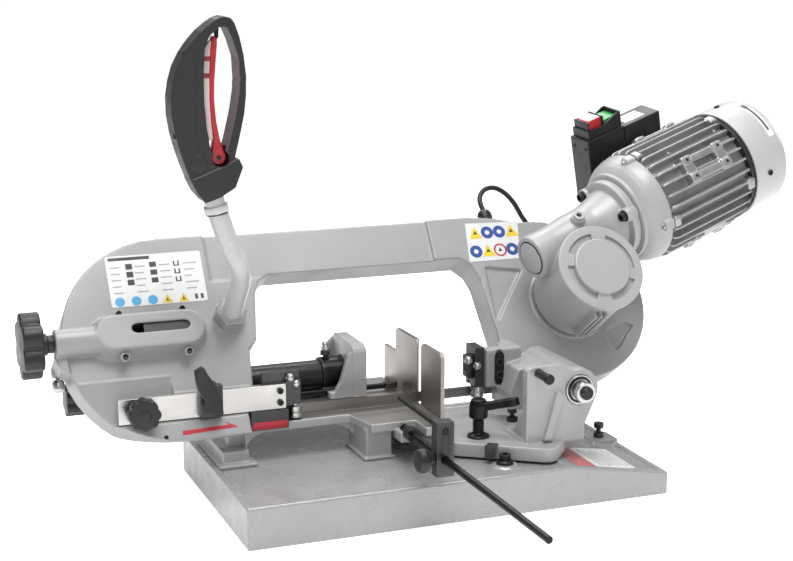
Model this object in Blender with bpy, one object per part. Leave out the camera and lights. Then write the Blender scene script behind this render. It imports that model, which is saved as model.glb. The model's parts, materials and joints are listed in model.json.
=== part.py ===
"""Horizontal metal-cutting band saw with a swivelling, tilting bow.

Machine frame while building, in millimetres: X runs along the blade to the motor end, Y runs to
the back, Z is up, zero at the middle of the base's front lower edge.  The last step moves the
whole saw so that the middle of its bounding-box floor is the world origin.
"""
import math
import bpy
import bmesh
from mathutils import Matrix, Vector

MM = 0.001

# ---- driving dimensions, mm -------------------------------------------------------------------
BASE_W, BASE_D, BASE_H = 500.0, 281.6, 46.6
BASE_SLOPE_X, BASE_END_H = 125.0, 26.0      # the right end falls away from this X to this height
FLOOR_Z = 44.1                              # tray floor
TABLE_Z, TABLE_T = 88.0, 10.0               # vise table top and plate thickness
JAW_X = 10.0                                # fixed jaw face
BLADE_Y, BLADE_Z = 171.0, 95.1              # centre of the straight cutting run
BLADE_W, BLADE_T = 13.0, 0.9
TILT = math.radians(35.0)                   # bow plane leans back by this much
WHEEL_R, WHEEL_C = 93.7, 94.45              # wheel radius, wheel centre above the cutting run
IDLER_X, DRIVE_X = -285.0, 222.5
FACE_T, BACK_T, WALL = 25.0, -12.0, 7.5     # bow casting: front face, open back, wall
PIVOT_X, PIVOT_Z = 158.4, 121.0             # bow hinge, axis along Y
SWIVEL_X, SWIVEL_Y = 10.0, 171.0            # mitre hinge, axis along Z
ARM_Z0, ARM_Z1 = 47.0, 63.0                 # swivel arm plate
WORM_T, WORM_OFF = 84.0, 56.0               # worm axis: height over the bow plane, offset from gear
WORM_PHI = math.radians(20.2)               # motor axis rises by this much inside the bow plane
MOTOR_R, MOTOR_CORE = 72.0, 63.0
SWITCH_PSI = math.radians(45.0)             # switch box turned round the motor axis
RAM_Y, RAM_Z, RAM_R = 255.0, 109.0, 18.5    # vise tube
STOP_X, STOP_Z = -35.0, 74.0                # length stop rod
BAR_Z0, BAR_Z1 = 104.5, 133.0               # guide arm bar
TENSION_S, TENSION_T = 94.45, 38.0          # tension screw axis
GRIP = (-240.0, 148.0, 345.0)               # foot of the hand grip


# ---- frames -----------------------------------------------------------------------------------
def frame(origin, ex, ey, ez):
    m = Matrix.Identity(4)
    for i, v in enumerate((ex, ey, ez, origin)):
        for r in range(3):
            m[r][i] = v[r]
    return m


UP = Vector((0.0, math.sin(TILT), math.cos(TILT)))
OUT = Vector((0.0, -math.cos(TILT), math.sin(TILT)))
WORLD = Matrix.Identity(4)
BOW = frame((0.0, BLADE_Y, BLADE_Z), (1, 0, 0), UP, OUT)
_a0 = Vector((DRIVE_X - WORM_OFF * math.sin(WORM_PHI), WHEEL_C + WORM_OFF * math.cos(WORM_PHI), WORM_T))
MOTOR = BOW @ Matrix.Translation(_a0) @ Matrix.Rotation(WORM_PHI, 4, 'Z')
SWITCH = MOTOR @ Matrix.Rotation(SWITCH_PSI, 4, 'X')


def at(m, x, y, z):
    return m @ Matrix.Translation((x, y, z))


def along_x(m, x=0.0, y=0.0, z=0.0):
    """Placement whose local Z runs along the X of m."""
    return at(m, x, y, z) @ Matrix.Rotation(math.pi / 2, 4, 'Y')


def along_y(m, x=0.0, y=0.0, z=0.0):
    """Placement whose local Z runs along the Y of m."""
    return at(m, x, y, z) @ Matrix.Rotation(-math.pi / 2, 4, 'X')


# ---- solids -----------------------------------------------------------------------------------
def solid(bm, m):
    bmesh.ops.transform(bm, matrix=m, verts=bm.verts)
    bmesh.ops.recalc_face_normals(bm, faces=bm.faces)
    me = bpy.data.meshes.new("solid")
    bm.to_mesh(me)
    bm.free()
    ob = bpy.data.objects.new("solid", me)
    bpy.context.scene.collection.objects.link(ob)
    return ob


def prism(poly, h0, h1, m=WORLD):
    bm = bmesh.new()
    lo = [bm.verts.new((x, y, h0)) for x, y in poly]
    hi = [bm.verts.new((x, y, h1)) for x, y in poly]
    n = len(poly)
    bm.faces.new(lo[::-1])
    bm.faces.new(hi)
    for i in range(n):
        bm.faces.new((lo[i], lo[(i + 1) % n], hi[(i + 1) % n], hi[i]))
    return solid(bm, m)


def box(x0, x1, y0, y1, z0, z1, m=WORLD):
    return prism([(x0, y0), (x1, y0), (x1, y1), (x0, y1)], z0, z1, m)


def lathe(profile, m=WORLD, seg=24):
    """Turn (radius, height) points round local Z; a radius of zero closes on the axis."""
    bm = bmesh.new()
    rings = []
    for r, h in profile:
        if r == 0.0:
            rings.append([bm.verts.new((0, 0, h))])
            continue
        rings.append([bm.verts.new((r * math.cos(2 * math.pi * k / seg),
                                    r * math.sin(2 * math.pi * k / seg), h)) for k in range(seg)])
    closed = profile[0][0] > 0.0
    pairs = list(zip(rings, rings[1:] + ([rings[0]] if closed else [])))
    for a, b in pairs:
        if len(a) == 1 and len(b) == 1:
            continue
        for k in range(seg):
            j = (k + 1) % seg
            if len(a) == 1:
                bm.faces.new((a[0], b[k], b[j]))
            elif len(b) == 1:
                bm.faces.new((a[k], b[0], a[j]))
            else:
                bm.faces.new((a[k], b[k], b[j], a[j]))
    return solid(bm, m)


def cyl(r, h0, h1, m=WORLD, seg=24):
    return lathe([(0.0, h0), (r, h0), (r, h1), (0.0, h1)], m, seg)


def ring(r0, r1, h0, h1, m=WORLD, seg=24):
    return lathe([(r0, h0), (r1, h0), (r1, h1), (r0, h1)], m, seg)


def sweep(points, section, m=WORLD, sides=None):
    """Carry a closed section along points; sides gives the local (a, b) axes at each point."""
    bm = bmesh.new()
    pts = [Vector(p) for p in points]
    rows = []
    for i, p in enumerate(pts):
        if sides:
            a, b = sides[i]
        else:
            d = (pts[min(i + 1, len(pts) - 1)] - pts[max(i - 1, 0)]).normalized()
            ref = Vector((0, 1, 0)) if abs(d.y) < 0.95 else Vector((1, 0, 0))
            a = d.cross(ref).normalized()
            b = d.cross(a).normalized()
        rows.append([bm.verts.new(p + a * u + b * v) for u, v in section])
    n = len(section)
    for r0, r1 in zip(rows, rows[1:]):
        for k in range(n):
            j = (k + 1) % n
            bm.faces.new((r0[k], r0[j], r1[j], r1[k]))
    bm.faces.new(rows[0][::-1])
    bm.faces.new(rows[-1])
    return solid(bm, m)


def loop(rows):
    """Closed belt through rows of four section corners."""
    bm = bmesh.new()
    vs = [[bm.verts.new(p) for p in row] for row in rows]
    for r0, r1 in zip(vs, vs[1:] + vs[:1]):
        for k in range(4):
            j = (k + 1) % 4
            bm.faces.new((r0[k], r0[j], r1[j], r1[k]))
    return solid(bm, WORLD)


def circle(r, seg=12):
    return [(r * math.cos(2 * math.pi * k / seg), r * math.sin(2 * math.pi * k / seg)) for k in range(seg)]


def arc(cx, cy, r, a0, a1, seg):
    out = []
    for k in range(seg + 1):
        a = math.radians(a0 + (a1 - a0) * k / seg)
        out.append((cx + r * math.cos(a), cy + r * math.sin(a)))
    return out


def stadium(cx, cy, half, r, seg=8):
    return arc(cx + half - r, cy, r, -90, 90, seg) + arc(cx - half + r, cy, r, 90, 270, seg)


def star(r0, r1, lobes, per=4):
    n = lobes * per
    return [((r0 + (r1 - r0) * 0.5 * (1 + math.cos(lobes * 2 * math.pi * k / n)))
             * math.cos(2 * math.pi * k / n),
             (r0 + (r1 - r0) * 0.5 * (1 + math.cos(lobes * 2 * math.pi * k / n)))
             * math.sin(2 * math.pi * k / n)) for k in range(n)]


def drop(ob):
    me = ob.data
    bpy.data.objects.remove(ob, do_unlink=True)
    bpy.data.meshes.remove(me)


def carve(base, adds=(), cuts=()):
    """Exact union with adds, then exact difference with cuts, baked into a plain mesh."""
    for tools, op in ((adds, 'UNION'), (cuts, 'DIFFERENCE')):
        for tool in tools:
            mod = base.modifiers.new("bool", 'BOOLEAN')
            mod.operation = op
            mod.solver = 'EXACT'
            mod.object = tool
            deps = bpy.context.evaluated_depsgraph_get()
            me = bpy.data.meshes.new_from_object(base.evaluated_get(deps))
            base.modifiers.clear()
            old = base.data
            base.data = me
            bpy.data.meshes.remove(old)
            drop(tool)
    return base


MATERIALS = {
    "grey_paint": ((0.52, 0.54, 0.55, 1), 0.25, 0.45), "steel": ((0.70, 0.70, 0.69, 1), 1.0, 0.3),
    "ground_steel": ((0.60, 0.58, 0.55, 1), 1.0, 0.38), "dark_steel": ((0.07, 0.07, 0.075, 1), 0.8, 0.4),
    "black_plastic": ((0.025, 0.025, 0.028, 1), 0.0, 0.5), "grip_rubber": ((0.05, 0.05, 0.052, 1), 0.0, 0.7),
    "red_plastic": ((0.6, 0.02, 0.03, 1), 0.0, 0.35), "green_plastic": ((0.02, 0.3, 0.05, 1), 0.0, 0.35),
    "cast_aluminium": ((0.63, 0.64, 0.65, 1), 0.8, 0.4), "light_paint": ((0.72, 0.73, 0.73, 1), 0.1, 0.4),
    "copper": ((0.6, 0.3, 0.15, 1), 1.0, 0.4), "bronze": ((0.55, 0.38, 0.15, 1), 1.0, 0.4),
    "grey_plastic": ((0.35, 0.35, 0.34, 1), 0.0, 0.5), "cable": ((0.02, 0.02, 0.02, 1), 0.0, 0.6),
}


def material(name):
    mat = bpy.data.materials.get(name)
    if mat:
        return mat
    color, metallic, rough = MATERIALS[name]
    mat = bpy.data.materials.new(name)
    mat.use_nodes = True
    bsdf = mat.node_tree.nodes["Principled BSDF"]
    bsdf.inputs["Base Color"].default_value = color
    bsdf.inputs["Metallic"].default_value = metallic
    bsdf.inputs["Roughness"].default_value = rough
    mat.diffuse_color = color
    return mat


def done(name, ob, mat, pivot=None):
    """Name a finished solid, scale it to metres and put its origin on its pivot."""
    ob.name = name
    ob.data.name = name
    me = ob.data
    bm = bmesh.new()
    bm.from_mesh(me)
    bmesh.ops.remove_doubles(bm, verts=bm.verts, dist=0.02)
    bmesh.ops.dissolve_limit(bm, angle_limit=math.radians(0.2), verts=bm.verts, edges=bm.edges)
    bmesh.ops.triangulate(bm, faces=[f for f in bm.faces if len(f.verts) > 4])
    p = Vector(pivot) if pivot is not None else Vector((0, 0, 0))
    for v in bm.verts:
        v.co = (v.co - p) * MM
    bmesh.ops.recalc_face_normals(bm, faces=bm.faces)
    bm.to_mesh(me)
    bm.free()
    me.materials.clear()
    me.materials.append(material(mat))
    ob.location = p * MM
    return ob


def pt(m, x, y, z):
    return m @ Vector((x, y, z))


PIVOT = Vector((PIVOT_X, 60.0, PIVOT_Z))
SWIVEL = Vector((SWIVEL_X, SWIVEL_Y, 55.0))


# ---- base, vise and stops ---------------------------------------------------------------------
def base_tray():
    side = [(-BASE_W / 2, 0), (BASE_W / 2, 0), (BASE_W / 2, BASE_END_H), (BASE_SLOPE_X, BASE_H),
            (-BASE_W / 2, BASE_H)]
    body = prism(side, 0, BASE_D, Matrix.Rotation(math.pi / 2, 4, 'X') @ Matrix.Scale(-1, 4, (0, 0, 1)))
    tray = box(-BASE_W / 2 + 7, BASE_SLOPE_X - 4, 7, BASE_D - 7, FLOOR_Z, 60)
    fall = (BASE_H - BASE_END_H) / (BASE_W / 2 - BASE_SLOPE_X)
    x0, x1, deep = 176.0, 243.0, 3.5
    low = [(x0, BASE_H - fall * (x0 - BASE_SLOPE_X) - deep), (x1, BASE_H - fall * (x1 - BASE_SLOPE_X) - deep),
           (x1, 60), (x0, 60)]
    recess = prism(low, 9, BASE_D - 9, Matrix.Rotation(math.pi / 2, 4, 'X') @ Matrix.Scale(-1, 4, (0, 0, 1)))
    pad = cyl(44, 36, 46.7, at(WORLD, SWIVEL_X, SWIVEL_Y, 0), 28)
    foot = box(214, 248, 116, 148, 20, 31.5)
    pin = cyl(9.6, 40, 77.4, at(WORLD, SWIVEL_X, SWIVEL_Y, 0))
    carve(body, (), (tray, recess))
    side_y = Matrix.Rotation(math.pi / 2, 4, 'X') @ Matrix.Scale(-1, 4, (0, 0, 1))
    under = prism([(-BASE_W / 2 + 5, -1), (BASE_W / 2 - 5, -1), (BASE_W / 2 - 5, BASE_END_H - 8.5),
                   (BASE_SLOPE_X, BASE_H - 9), (BASE_SLOPE_X - 20, 38.6), (-BASE_W / 2 + 5, 38.6)],
                  5, BASE_D - 5, side_y)
    carve(body, (), (under,))
    carve(body, (pad, foot, pin, cyl(15, 30, 46.4, at(WORLD, 62, 40, 0))))
    carve(body, (), (cyl(3.6, 12, 60, at(WORLD, 62, 40, 0), 12), cyl(3.2, 10, 60, at(WORLD, 230, 132, 0), 12)))
    return done("base_tray", body, "grey_paint")


def vise_bed():
    plan = [(-74, 104), (-21, 104), (-21, 72), (9.6, 72), (9.6, 292), (-196, 292), (-196, 152), (-84, 152)]
    top = prism(plan, TABLE_Z - TABLE_T, TABLE_Z)
    feet = [box(-237, -206, 144, 232, FLOOR_Z + 0.3, 62), box(-226, -206, 164, 232, 60, 74),
            box(-243, -198, 136, 238, FLOOR_Z + 0.3, 48.6),
            box(-78, -47, 112, 172, FLOOR_Z + 0.3, 80), box(-81, -44, 109, 176, FLOOR_Z + 0.3, 47.6),
            box(-201.4, -190, 152, 291, 77, 87)]
    lug = carve(box(-212, -188, 214, 292, 70, 88), (cyl(27, -210, -190, along_x(WORLD, 0, RAM_Y, RAM_Z)),
                                                    box(-210, -190, 228, 282, 80, RAM_Z)))
    gusset_l = prism([(-208, 54), (-206, 64), (-200, 72), (-190, 77), (-172, 79), (-208, 79)], -230, -153,
                     Matrix.Rotation(math.pi / 2, 4, 'X'))
    gusset_r = prism([(-77, 56), (-77, 79), (-116, 79), (-96, 76.5), (-84, 70), (-79, 63)], -171, -153,
                     Matrix.Rotation(math.pi / 2, 4, 'X'))
    body = carve(top, feet + [lug, gusset_l, gusset_r])
    cuts = [cyl(RAM_R + 0.35, -230, -180, along_x(WORLD, 0, RAM_Y, RAM_Z), 32),
            cyl(4.3, 60, 112, along_y(WORLD, STOP_X, 0, STOP_Z + 6)),
            cyl(21, 70, 77.9, at(WORLD, SWIVEL_X, SWIVEL_Y, 0))]
    carve(body, (box(STOP_X - 10, STOP_X + 10, 88, 112, 68, 80),), cuts)
    return done("vise_bed", body, "grey_paint")


def fixed_jaws():
    turn = Matrix.Rotation(math.pi / 2, 4, 'Z') @ Matrix.Rotation(math.pi / 2, 4, 'X')
    rear = prism([(176.5, 79), (287, 79), (287, 131), (251, 131), (248, 134), (247, 158), (244, 161),
                  (181, 162), (176.5, 157)], JAW_X, JAW_X + 5, turn)
    front = prism([(104, 79), (165.5, 79), (165.5, 157), (161, 161), (108, 162), (104, 158)],
                  JAW_X, JAW_X + 5, turn)
    relief = prism([(JAW_X + 0.8, 176), (JAW_X + 6, 176), (JAW_X + 6, 183.6)], 70, 170)
    carve(rear, (), (relief,))
    done("fixed_jaw_rear", rear, "ground_steel")
    done("fixed_jaw_front", front, "ground_steel")


def movable_jaw():
    turn = Matrix.Rotation(math.pi / 2, 4, 'Z') @ Matrix.Rotation(math.pi / 2, 4, 'X')
    face = prism([(213, TABLE_Z + 0.3), (300, TABLE_Z + 0.3), (300, 130), (292, 146), (284, 152), (224, 152),
                  (216, 149), (213, 144)], -57, -40, turn)
    side = Matrix.Rotation(math.pi / 2, 4, 'X')
    gussets = [prism([(-84, TABLE_Z + 0.3), (-56, TABLE_Z + 0.3), (-56, 146), (-62, 140), (-72, 108)],
                     -y - 9, -y, side) for y in (215, 286)]
    sleeve = cyl(21.6, -87, -50, along_x(WORLD, 0, RAM_Y, RAM_Z), 28)
    foot = box(-85.4, -50, 216.4, 293.6, TABLE_Z - 3, 96.4)
    body = carve(face, gussets + [sleeve, foot])
    under = box(-95, -30, 200, 310, 60, TABLE_Z + 0.3)
    bore = cyl(RAM_R + 0.3, -100, -60, along_x(WORLD, 0, RAM_Y, RAM_Z), 32)
    keyway = box(-100, -30, 226.2, 237.8, 80, 99.0)
    stud = cyl(3.4, 126, 150, at(WORLD, -78, RAM_Y, 0), 12)
    carve(body, (), (under, bore, keyway, stud))
    return done("movable_jaw", body, "grey_paint")


def vise_parts():
    axis = along_x(WORLD, 0, RAM_Y, RAM_Z)
    tube = ring(11.0, RAM_R, -228, -60.4, axis, 32)
    tube = carve(tube, (ring(6.4, 12.0, -226, -206, axis, 24),))
    done("vise_ram_tube", tube, "dark_steel")
    screw = lathe([(0, -372), (6.0, -372), (6.0, -70), (0, -70)], axis, 16)
    knob = lathe([(0, -392), (15, -392), (19, -388), (19, -358), (14, -352), (14, -346), (9, -344),
                  (9, -342), (0, -342)], axis, 20)
    carve(screw, (knob,))
    done("vise_screw", screw, "dark_steel", (0, RAM_Y, RAM_Z))
    rod = cyl(3.5, -150, 4, along_x(WORLD, 0, 232, 94), 16)
    eye = prism(stadium(-3, 232, 9, 5.5, 6), 90.5, 97.5)
    rod = carve(rod, (eye, box(-158, -146, 227, 237, 88.3, 98.5)))
    done("vise_guide_rod", rod, "dark_steel")
    stud = at(WORLD, -78, RAM_Y, 0)
    lock = lathe([(0, 128.2), (3.0, 128.2), (3.0, 133.5), (6.6, 133.5), (6.6, 139), (4.4, 139), (4.4, 147),
                  (3.0, 149.6), (0, 150.4)], stud, 12)
    done("jaw_lock_stud", lock, "steel")


def length_stop():
    axis = along_y(WORLD, STOP_X, 0, STOP_Z + 6)
    rod = lathe([(0, -268), (3.2, -268), (4.0, -267), (4.0, 74), (8.0, 74), (8.0, 87.6), (4.0, 87.6),
                 (4.0, 110), (0, 110)], axis, 16)
    done("stop_rod", rod, "dark_steel")
    block = box(STOP_X - 10, STOP_X + 10, -18, -3, STOP_Z - 13, STOP_Z + 48)
    cuts = [cyl(4.3, -30, 10, axis, 16), cyl(3.3, -30, 10, along_y(WORLD, STOP_X, 0, STOP_Z + 38), 12),
            cyl(3.3, -30, 4, along_x(WORLD, STOP_X - 9.5, -10.5, STOP_Z + 6), 12)]
    carve(block, (), cuts)
    hub = (STOP_X, -10.5, STOP_Z + 6)
    done("stop_block", block, "dark_steel", hub)
    pin = cyl(3.0, -17, 118, along_y(WORLD, STOP_X, 0, STOP_Z + 38), 12)
    done("stop_pin", pin, "dark_steel", hub)
    kn = lathe([(0, -31), (11, -31), (13.5, -28), (13.5, -20), (11, -17), (6.5, -16), (6.5, -11), (3.0, -11),
                (3.0, -6.0), (0, -6.0)], along_x(WORLD, STOP_X, -10.5, STOP_Z + 6), 20)
    done("stop_knob", kn, "black_plastic", hub)


def mitre_stops():
    low = lathe([(0, 26), (3.3, 26), (3.3, 46.7), (10.0, 46.7), (10.0, 49.5), (8.0, 51), (6.5, 51),
                 (6.5, 58), (0, 58)], at(WORLD, 62, 40, 0), 12)
    done("mitre_stop_front", low, "dark_steel")
    far = lathe([(0, 18), (2.9, 18), (2.9, 32), (7.0, 32), (7.0, 37), (3.2, 37), (3.2, 43), (6.0, 43),
                 (6.0, 49), (0, 49)], at(WORLD, 230, 132, 0), 12)
    done("mitre_stop_rear", far, "dark_steel")


# ---- swivel arm -------------------------------------------------------------------------------
def swivel_arm():
    plan = [(-8, 118), (21, 81), (104, 24), (112, 22), (120, 25), (143, 52), (146, 60), (172, 62), (172, 124),
            (120, 160), (60, 196)] + arc(SWIVEL_X, SWIVEL_Y, 34, 55, 215, 8)
    plate = prism(plan, ARM_Z0, ARM_Z1)
    side = Matrix.Rotation(math.pi / 2, 4, 'X')
    lug = [(92, 60), (92, 148), (97, 152), (138, 152)] + \
          [(PIVOT_X + 24.5 * math.cos(a), PIVOT_Z + 24.5 * math.sin(a)) for a in
           [math.radians(d) for d in (110, 90, 70, 50, 30, 10, -10, -25)]] + [(166, 78), (166, 60)]
    upright = prism(lug[::-1], -60, -48, side)
    rib = prism([(112, 66), (122, 66), (136, 118), (128, 124)], -49, -42, side)
    foot = prism([(90, 52), (146, 52), (172, 62), (172, 110), (90, 110)], 60, 66)
    back = prism([(58, ARM_Z1 - 1), (58, 108), (84, 74), (106, ARM_Z1 - 1)], 94, 104,
                 Matrix.Rotation(math.pi / 2, 4, 'Z') @ Matrix.Rotation(math.pi / 2, 4, 'X'))
    hub = cyl(20, 60, 76.5, at(WORLD, SWIVEL_X, SWIVEL_Y, 0))
    boss = cyl(11, 60, 66.5, at(WORLD, 111, 126, 0), 16)
    body = carve(plate, (upright, rib, foot, back, hub, boss))
    cuts = (cyl(10.3, 40, 100, along_y(WORLD, PIVOT_X, 0, PIVOT_Z)),
            cyl(17.3, 40, 56, along_y(WORLD, PIVOT_X, 0, PIVOT_Z)),
            cyl(10.0, 40, 90, at(WORLD, SWIVEL_X, SWIVEL_Y, 0)), cyl(5.3, 40, 70, at(WORLD, 53, 94, 0), 16),
            cyl(3.3, 50, 70, at(WORLD, 111, 126, 0), 12), cyl(4.3, 40, 60, along_y(WORLD, 106, 0, 145), 12))
    carve(body, (), cuts)
    return done("swivel_arm", body, "grey_paint", SWIVEL)


def swivel_parts():
    axis = along_y(WORLD, PIVOT_X, 0, PIVOT_Z)
    shaft = lathe([(0, 26), (6.0, 26), (7.5, 28), (7.5, 50), (10.0, 50), (10.0, 140), (0, 140)], axis, 24)
    done("pivot_shaft", shaft, "steel", SWIVEL)
    bearing = ring(10.4, 17.0, 46.5, 55.6, axis, 20)
    carve(bearing, (ring(8.0, 11.0, 42.0, 49.6, axis, 20),))
    done("pivot_bearing", bearing, "steel", SWIVEL)
    nut = lathe([(0, 31), (11.5, 31), (12.5, 32.5), (12.5, 41.6), (0, 41.6)], axis, 6)
    carve(nut, (), (cyl(7.8, 20, 50, axis, 24),))
    done("pivot_nut", nut, "steel", SWIVEL)
    pin = lathe([(0, 18), (5.4, 18), (6.0, 19), (6.0, 24), (5.0, 25), (5.0, 47.6), (4.0, 47.7), (4.0, 58),
                 (0, 58)], along_y(WORLD, 106, 0, 145), 12)
    done("bracket_pin", pin, "dark_steel", SWIVEL)
    bolt = lathe([(0, 54), (3.0, 54), (3.0, 66.9), (7.2, 66.9), (7.2, 71.5), (3.2, 71.5), (3.2, 77),
                  (5.6, 77), (5.6, 83.6), (0, 83.6)], at(WORLD, 111, 126, 0), 12)
    done("down_stop_bolt", bolt, "dark_steel", SWIVEL)
    strap = prism([(44, 51.5), (54, 45), (60.5, 55), (50.5, 61.6)], 63.3, 65.8)
    carve(strap, (prism([(42.5, 52.5), (52.5, 46), (54.2, 48.6), (44.2, 55.1)], 50.5, 65.8),))
    done("mitre_pointer", strap, "dark_steel", SWIVEL)
    post = at(WORLD, 53, 94, 0)
    lever = lathe([(0, 50), (5.0, 50), (5.0, 63.3), (13.0, 63.3), (13.0, 65.5), (8.5, 67.5), (6.5, 69),
                   (6.5, 84), (11, 87), (11, 101), (8.5, 108), (0, 108)], post, 20)
    lean = at(WORLD, 53, 94, 98) @ Matrix.Rotation(math.radians(-42), 4, 'Z') @ \
        Matrix.Rotation(math.radians(-15), 4, 'Y')
    arm = [(0, -7), (32, -4.5), (40, -6), (47, -5.5), (50.5, 0), (47, 5.5), (40, 6), (32, 4.5), (0, 7)]
    carve(lever, (prism(arm, -4.5, 4.5, lean),))
    done("mitre_lock_lever", lever, "dark_steel", (53, 94, 80))


# ---- bow --------------------------------------------------------------------------------------
def bow_outline(grow):
    """Outline of the bow in its own plane, shrunk by -grow."""
    g = grow
    right = arc(DRIVE_X, WHEEL_C, 102.5 + g, 66, -84, 18)
    low = [(150, -8.5 - g), (118 - g, 8), (118 - g, 62), (113 - g, 132), (107 - g, 150), (94 - g, 162 - g)]
    left = [(-150 + g, 162 - g), (-163 + g, 154), (-171 + g, 138), (-174 + g, 118), (-180 + g, 80),
            (-190 + g, 70), (-194 + g, 25), (-205 + g, -8), (-205 + g, -29.5 - g)]
    big = arc(-278, 93, 122.5 + g, -90, -270, 20)
    top = [(118, 215.5 + g), (150, 212 + g), (180, 204.5 + g), (214, 203 + g)]
    return (right + low + left + big + top)[::-1]


def bow_cavity():
    right = arc(DRIVE_X, WHEEL_C, 98.6, 75, -88, 18)
    low = [(155, -4.2), (123, 12), (123, 62), (118.5, 134), (112, 154), (96, 167.5)]
    left = [(-150, 167.5), (-166, 159), (-176, 140), (-179, 118), (-184, 84), (-189, 60), (-192, 40),
            (-196, 25), (-199, 8), (-199, -20)]
    big = arc(-278, 93, 117.0, -75, -270, 20)
    top = [(118, 210), (150, 206.5), (182, 198.5), (214, 197)]
    return (right + low + left + big + top)[::-1]


def bow_frame():
    body = prism(bow_outline(0.0), BACK_T, FACE_T, BOW)
    cavity = prism(bow_cavity(), BACK_T - 20, FACE_T - WALL, BOW)
    carve(cavity, (), (box(-500, 500, 100, 400, 40, 85.5),))
    beam_step = box(-221, 470, 157, 230, FACE_T - 4, FACE_T + 20, BOW)
    carve(beam_step, (), (box(60, 480, 90, 240, 0, 60, BOW),))
    carve(body, (), (cavity, box(-500, 500, 60, 400, 20, 81.5), beam_step))
    across = Matrix.Rotation(math.pi / 2, 4, 'Z') @ Matrix.Rotation(math.pi / 2, 4, 'X')
    wall = prism([(157.9, 103.2), (164.6, 104.2), (184, 148), (176.5, 148)], -397, -286, across)
    beyond = box(-500, 500, -60, 400, BACK_T - 40, 100, BOW)
    carve(beyond, (), (prism(bow_outline(-0.4), BACK_T - 50, 110, BOW),))
    carve(wall, (), (beyond,))
    seat = prism([(158.3, 104.3), (165.5, 104.3), (176, 134), (165, 131), (158.3, 124)], -286, -199, across)
    carve(body, (wall, seat))
    open_l = prism([(100, 103.4), (158.2, 103.4), (176.9, 147.2), (100, 147.2)], -410, -286, across)
    open_r = prism([(100, 103.4), (158.3, 103.4), (158.3, 124), (165.0, 130.2), (100, 130.2)], -290, -190, across)
    carve(body, (), (open_l, open_r))
    body = bow_bosses(body)
    return done("bow_frame", body, "grey_paint", PIVOT)


def tapered(cx, cy, half0, r0, half1, r1, h0, h1, m):
    """Stadium boss that narrows from height h0 to h1."""
    bm = bmesh.new()
    lo = [bm.verts.new((x, y, h0)) for x, y in stadium(cx, cy, half0, r0, 10)]
    hi = [bm.verts.new((x, y, h1)) for x, y in stadium(cx, cy, half1, r1, 10)]
    n = len(lo)
    bm.faces.new(lo[::-1])
    bm.faces.new(hi)
    for i in range(n):
        bm.faces.new((lo[i], lo[(i + 1) % n], hi[(i + 1) % n], hi[i]))
    return solid(bm, m)


def bow_bosses(body):
    boss = tapered(-304, TENSION_S + 2, 68, 27, 61, 20, FACE_T - 3, 48, BOW)
    neck = cyl(16, -410, -350, along_x(BOW, 0, TENSION_S, TENSION_T - 6), 20)
    wedge = prism([(-411, 82), (-396, 82), (-396, 60), (-406, 66)], 0, 30, BOW)
    hexa = cyl(18.6, FACE_T - 3, 46, at(BOW, -208, 110, 0), 6)
    gear_ring = ring(41, 50.5, FACE_T - 2, FACE_T + 1.7, at(BOW, DRIVE_X, WHEEL_C, 0), 32)
    pivot = cyl(24, 60.3, 163.6, along_y(WORLD, PIVOT_X, 0, PIVOT_Z), 24)
    web = prism([(100, 84.2), (150, 84.2), (165, 98), (165, 120), (150, 140), (112, 132), (100, 104)],
                -164, -112, Matrix.Rotation(math.pi / 2, 4, 'X'))
    guide = box(86, 131, 145, 162, 104, 150)
    neck2 = box(110, 131, 150, 178, 112, 150)
    hinge = [box(-411, -396, 69, 81, BACK_T + 0.3, -1, BOW)]
    carve(body, [boss, neck, wedge, hexa, gear_ring, pivot, web, guide, neck2] + hinge)
    slot = prism(stadium(-292, TENSION_S + 4.5, 33, 5.5, 6), 44, 60, BOW)
    room = box(-344, -252, TENSION_S - 14.5, TENSION_S + 14.5, 0, 44.5, BOW)
    screw = cyl(6.3, -430, -340, along_x(BOW, 0, TENSION_S, TENSION_T - 6), 16)
    hole = cyl(10.4, 0, 60, at(BOW, DRIVE_X, WHEEL_C, 0))
    bore = cyl(10.3, 60, 141, along_y(WORLD, PIVOT_X, 0, PIVOT_Z))
    tube = cyl(10.3, 30, 60, at(BOW, -208, 110, 0), 20)
    pocket = prism([(121, 74), (123, 148), (170, 140)], FACE_T - 4, FACE_T + 5, BOW)
    scoop = prism([(262, 50), (264, 31), (270, 24), (279, 30), (290, 43), (303, 54), (292, 60), (275, 57)],
                  FACE_T - 3.2, FACE_T + 5, BOW)
    claw = [box(98, 106, 140, 147.5, 106, 149), scoop]
    gland = cyl(4.2, 150, 240, along_y(BOW, 150, 0, 2), 16)
    way = box(112, 158, -5.5, 6, -8, 8, BOW)
    carve(body, (), [slot, room, screw, hole, bore, tube, pocket, gland, way] + claw)
    return body


def rear_cover():
    plan = bow_outline(-0.6)
    plate = prism(plan, BACK_T - 3.5, BACK_T - 0.3, BOW)
    cuts = (box(-500, 500, 60, 400, 20, 82.5), cyl(27, 60, 260, along_y(WORLD, PIVOT_X, 0, PIVOT_Z), 24))
    carve(plate, (), cuts)
    return done("rear_cover", plate, "grey_paint", PIVOT)


def cover_screws():
    for i, (x, s) in enumerate(((-399.5, 76.0),)):
        axis = along_y(BOW, x - 5.5, s, BACK_T + 5.5)
        knob = lathe([(0, -24), (5.5, -24), (7, -22), (7, -13), (5.5, -11), (2.5, -11), (2.5, -8.3), (0, -8.3)],
                     axis, 12)
        done("cover_screw", knob, "steel", PIVOT)


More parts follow.
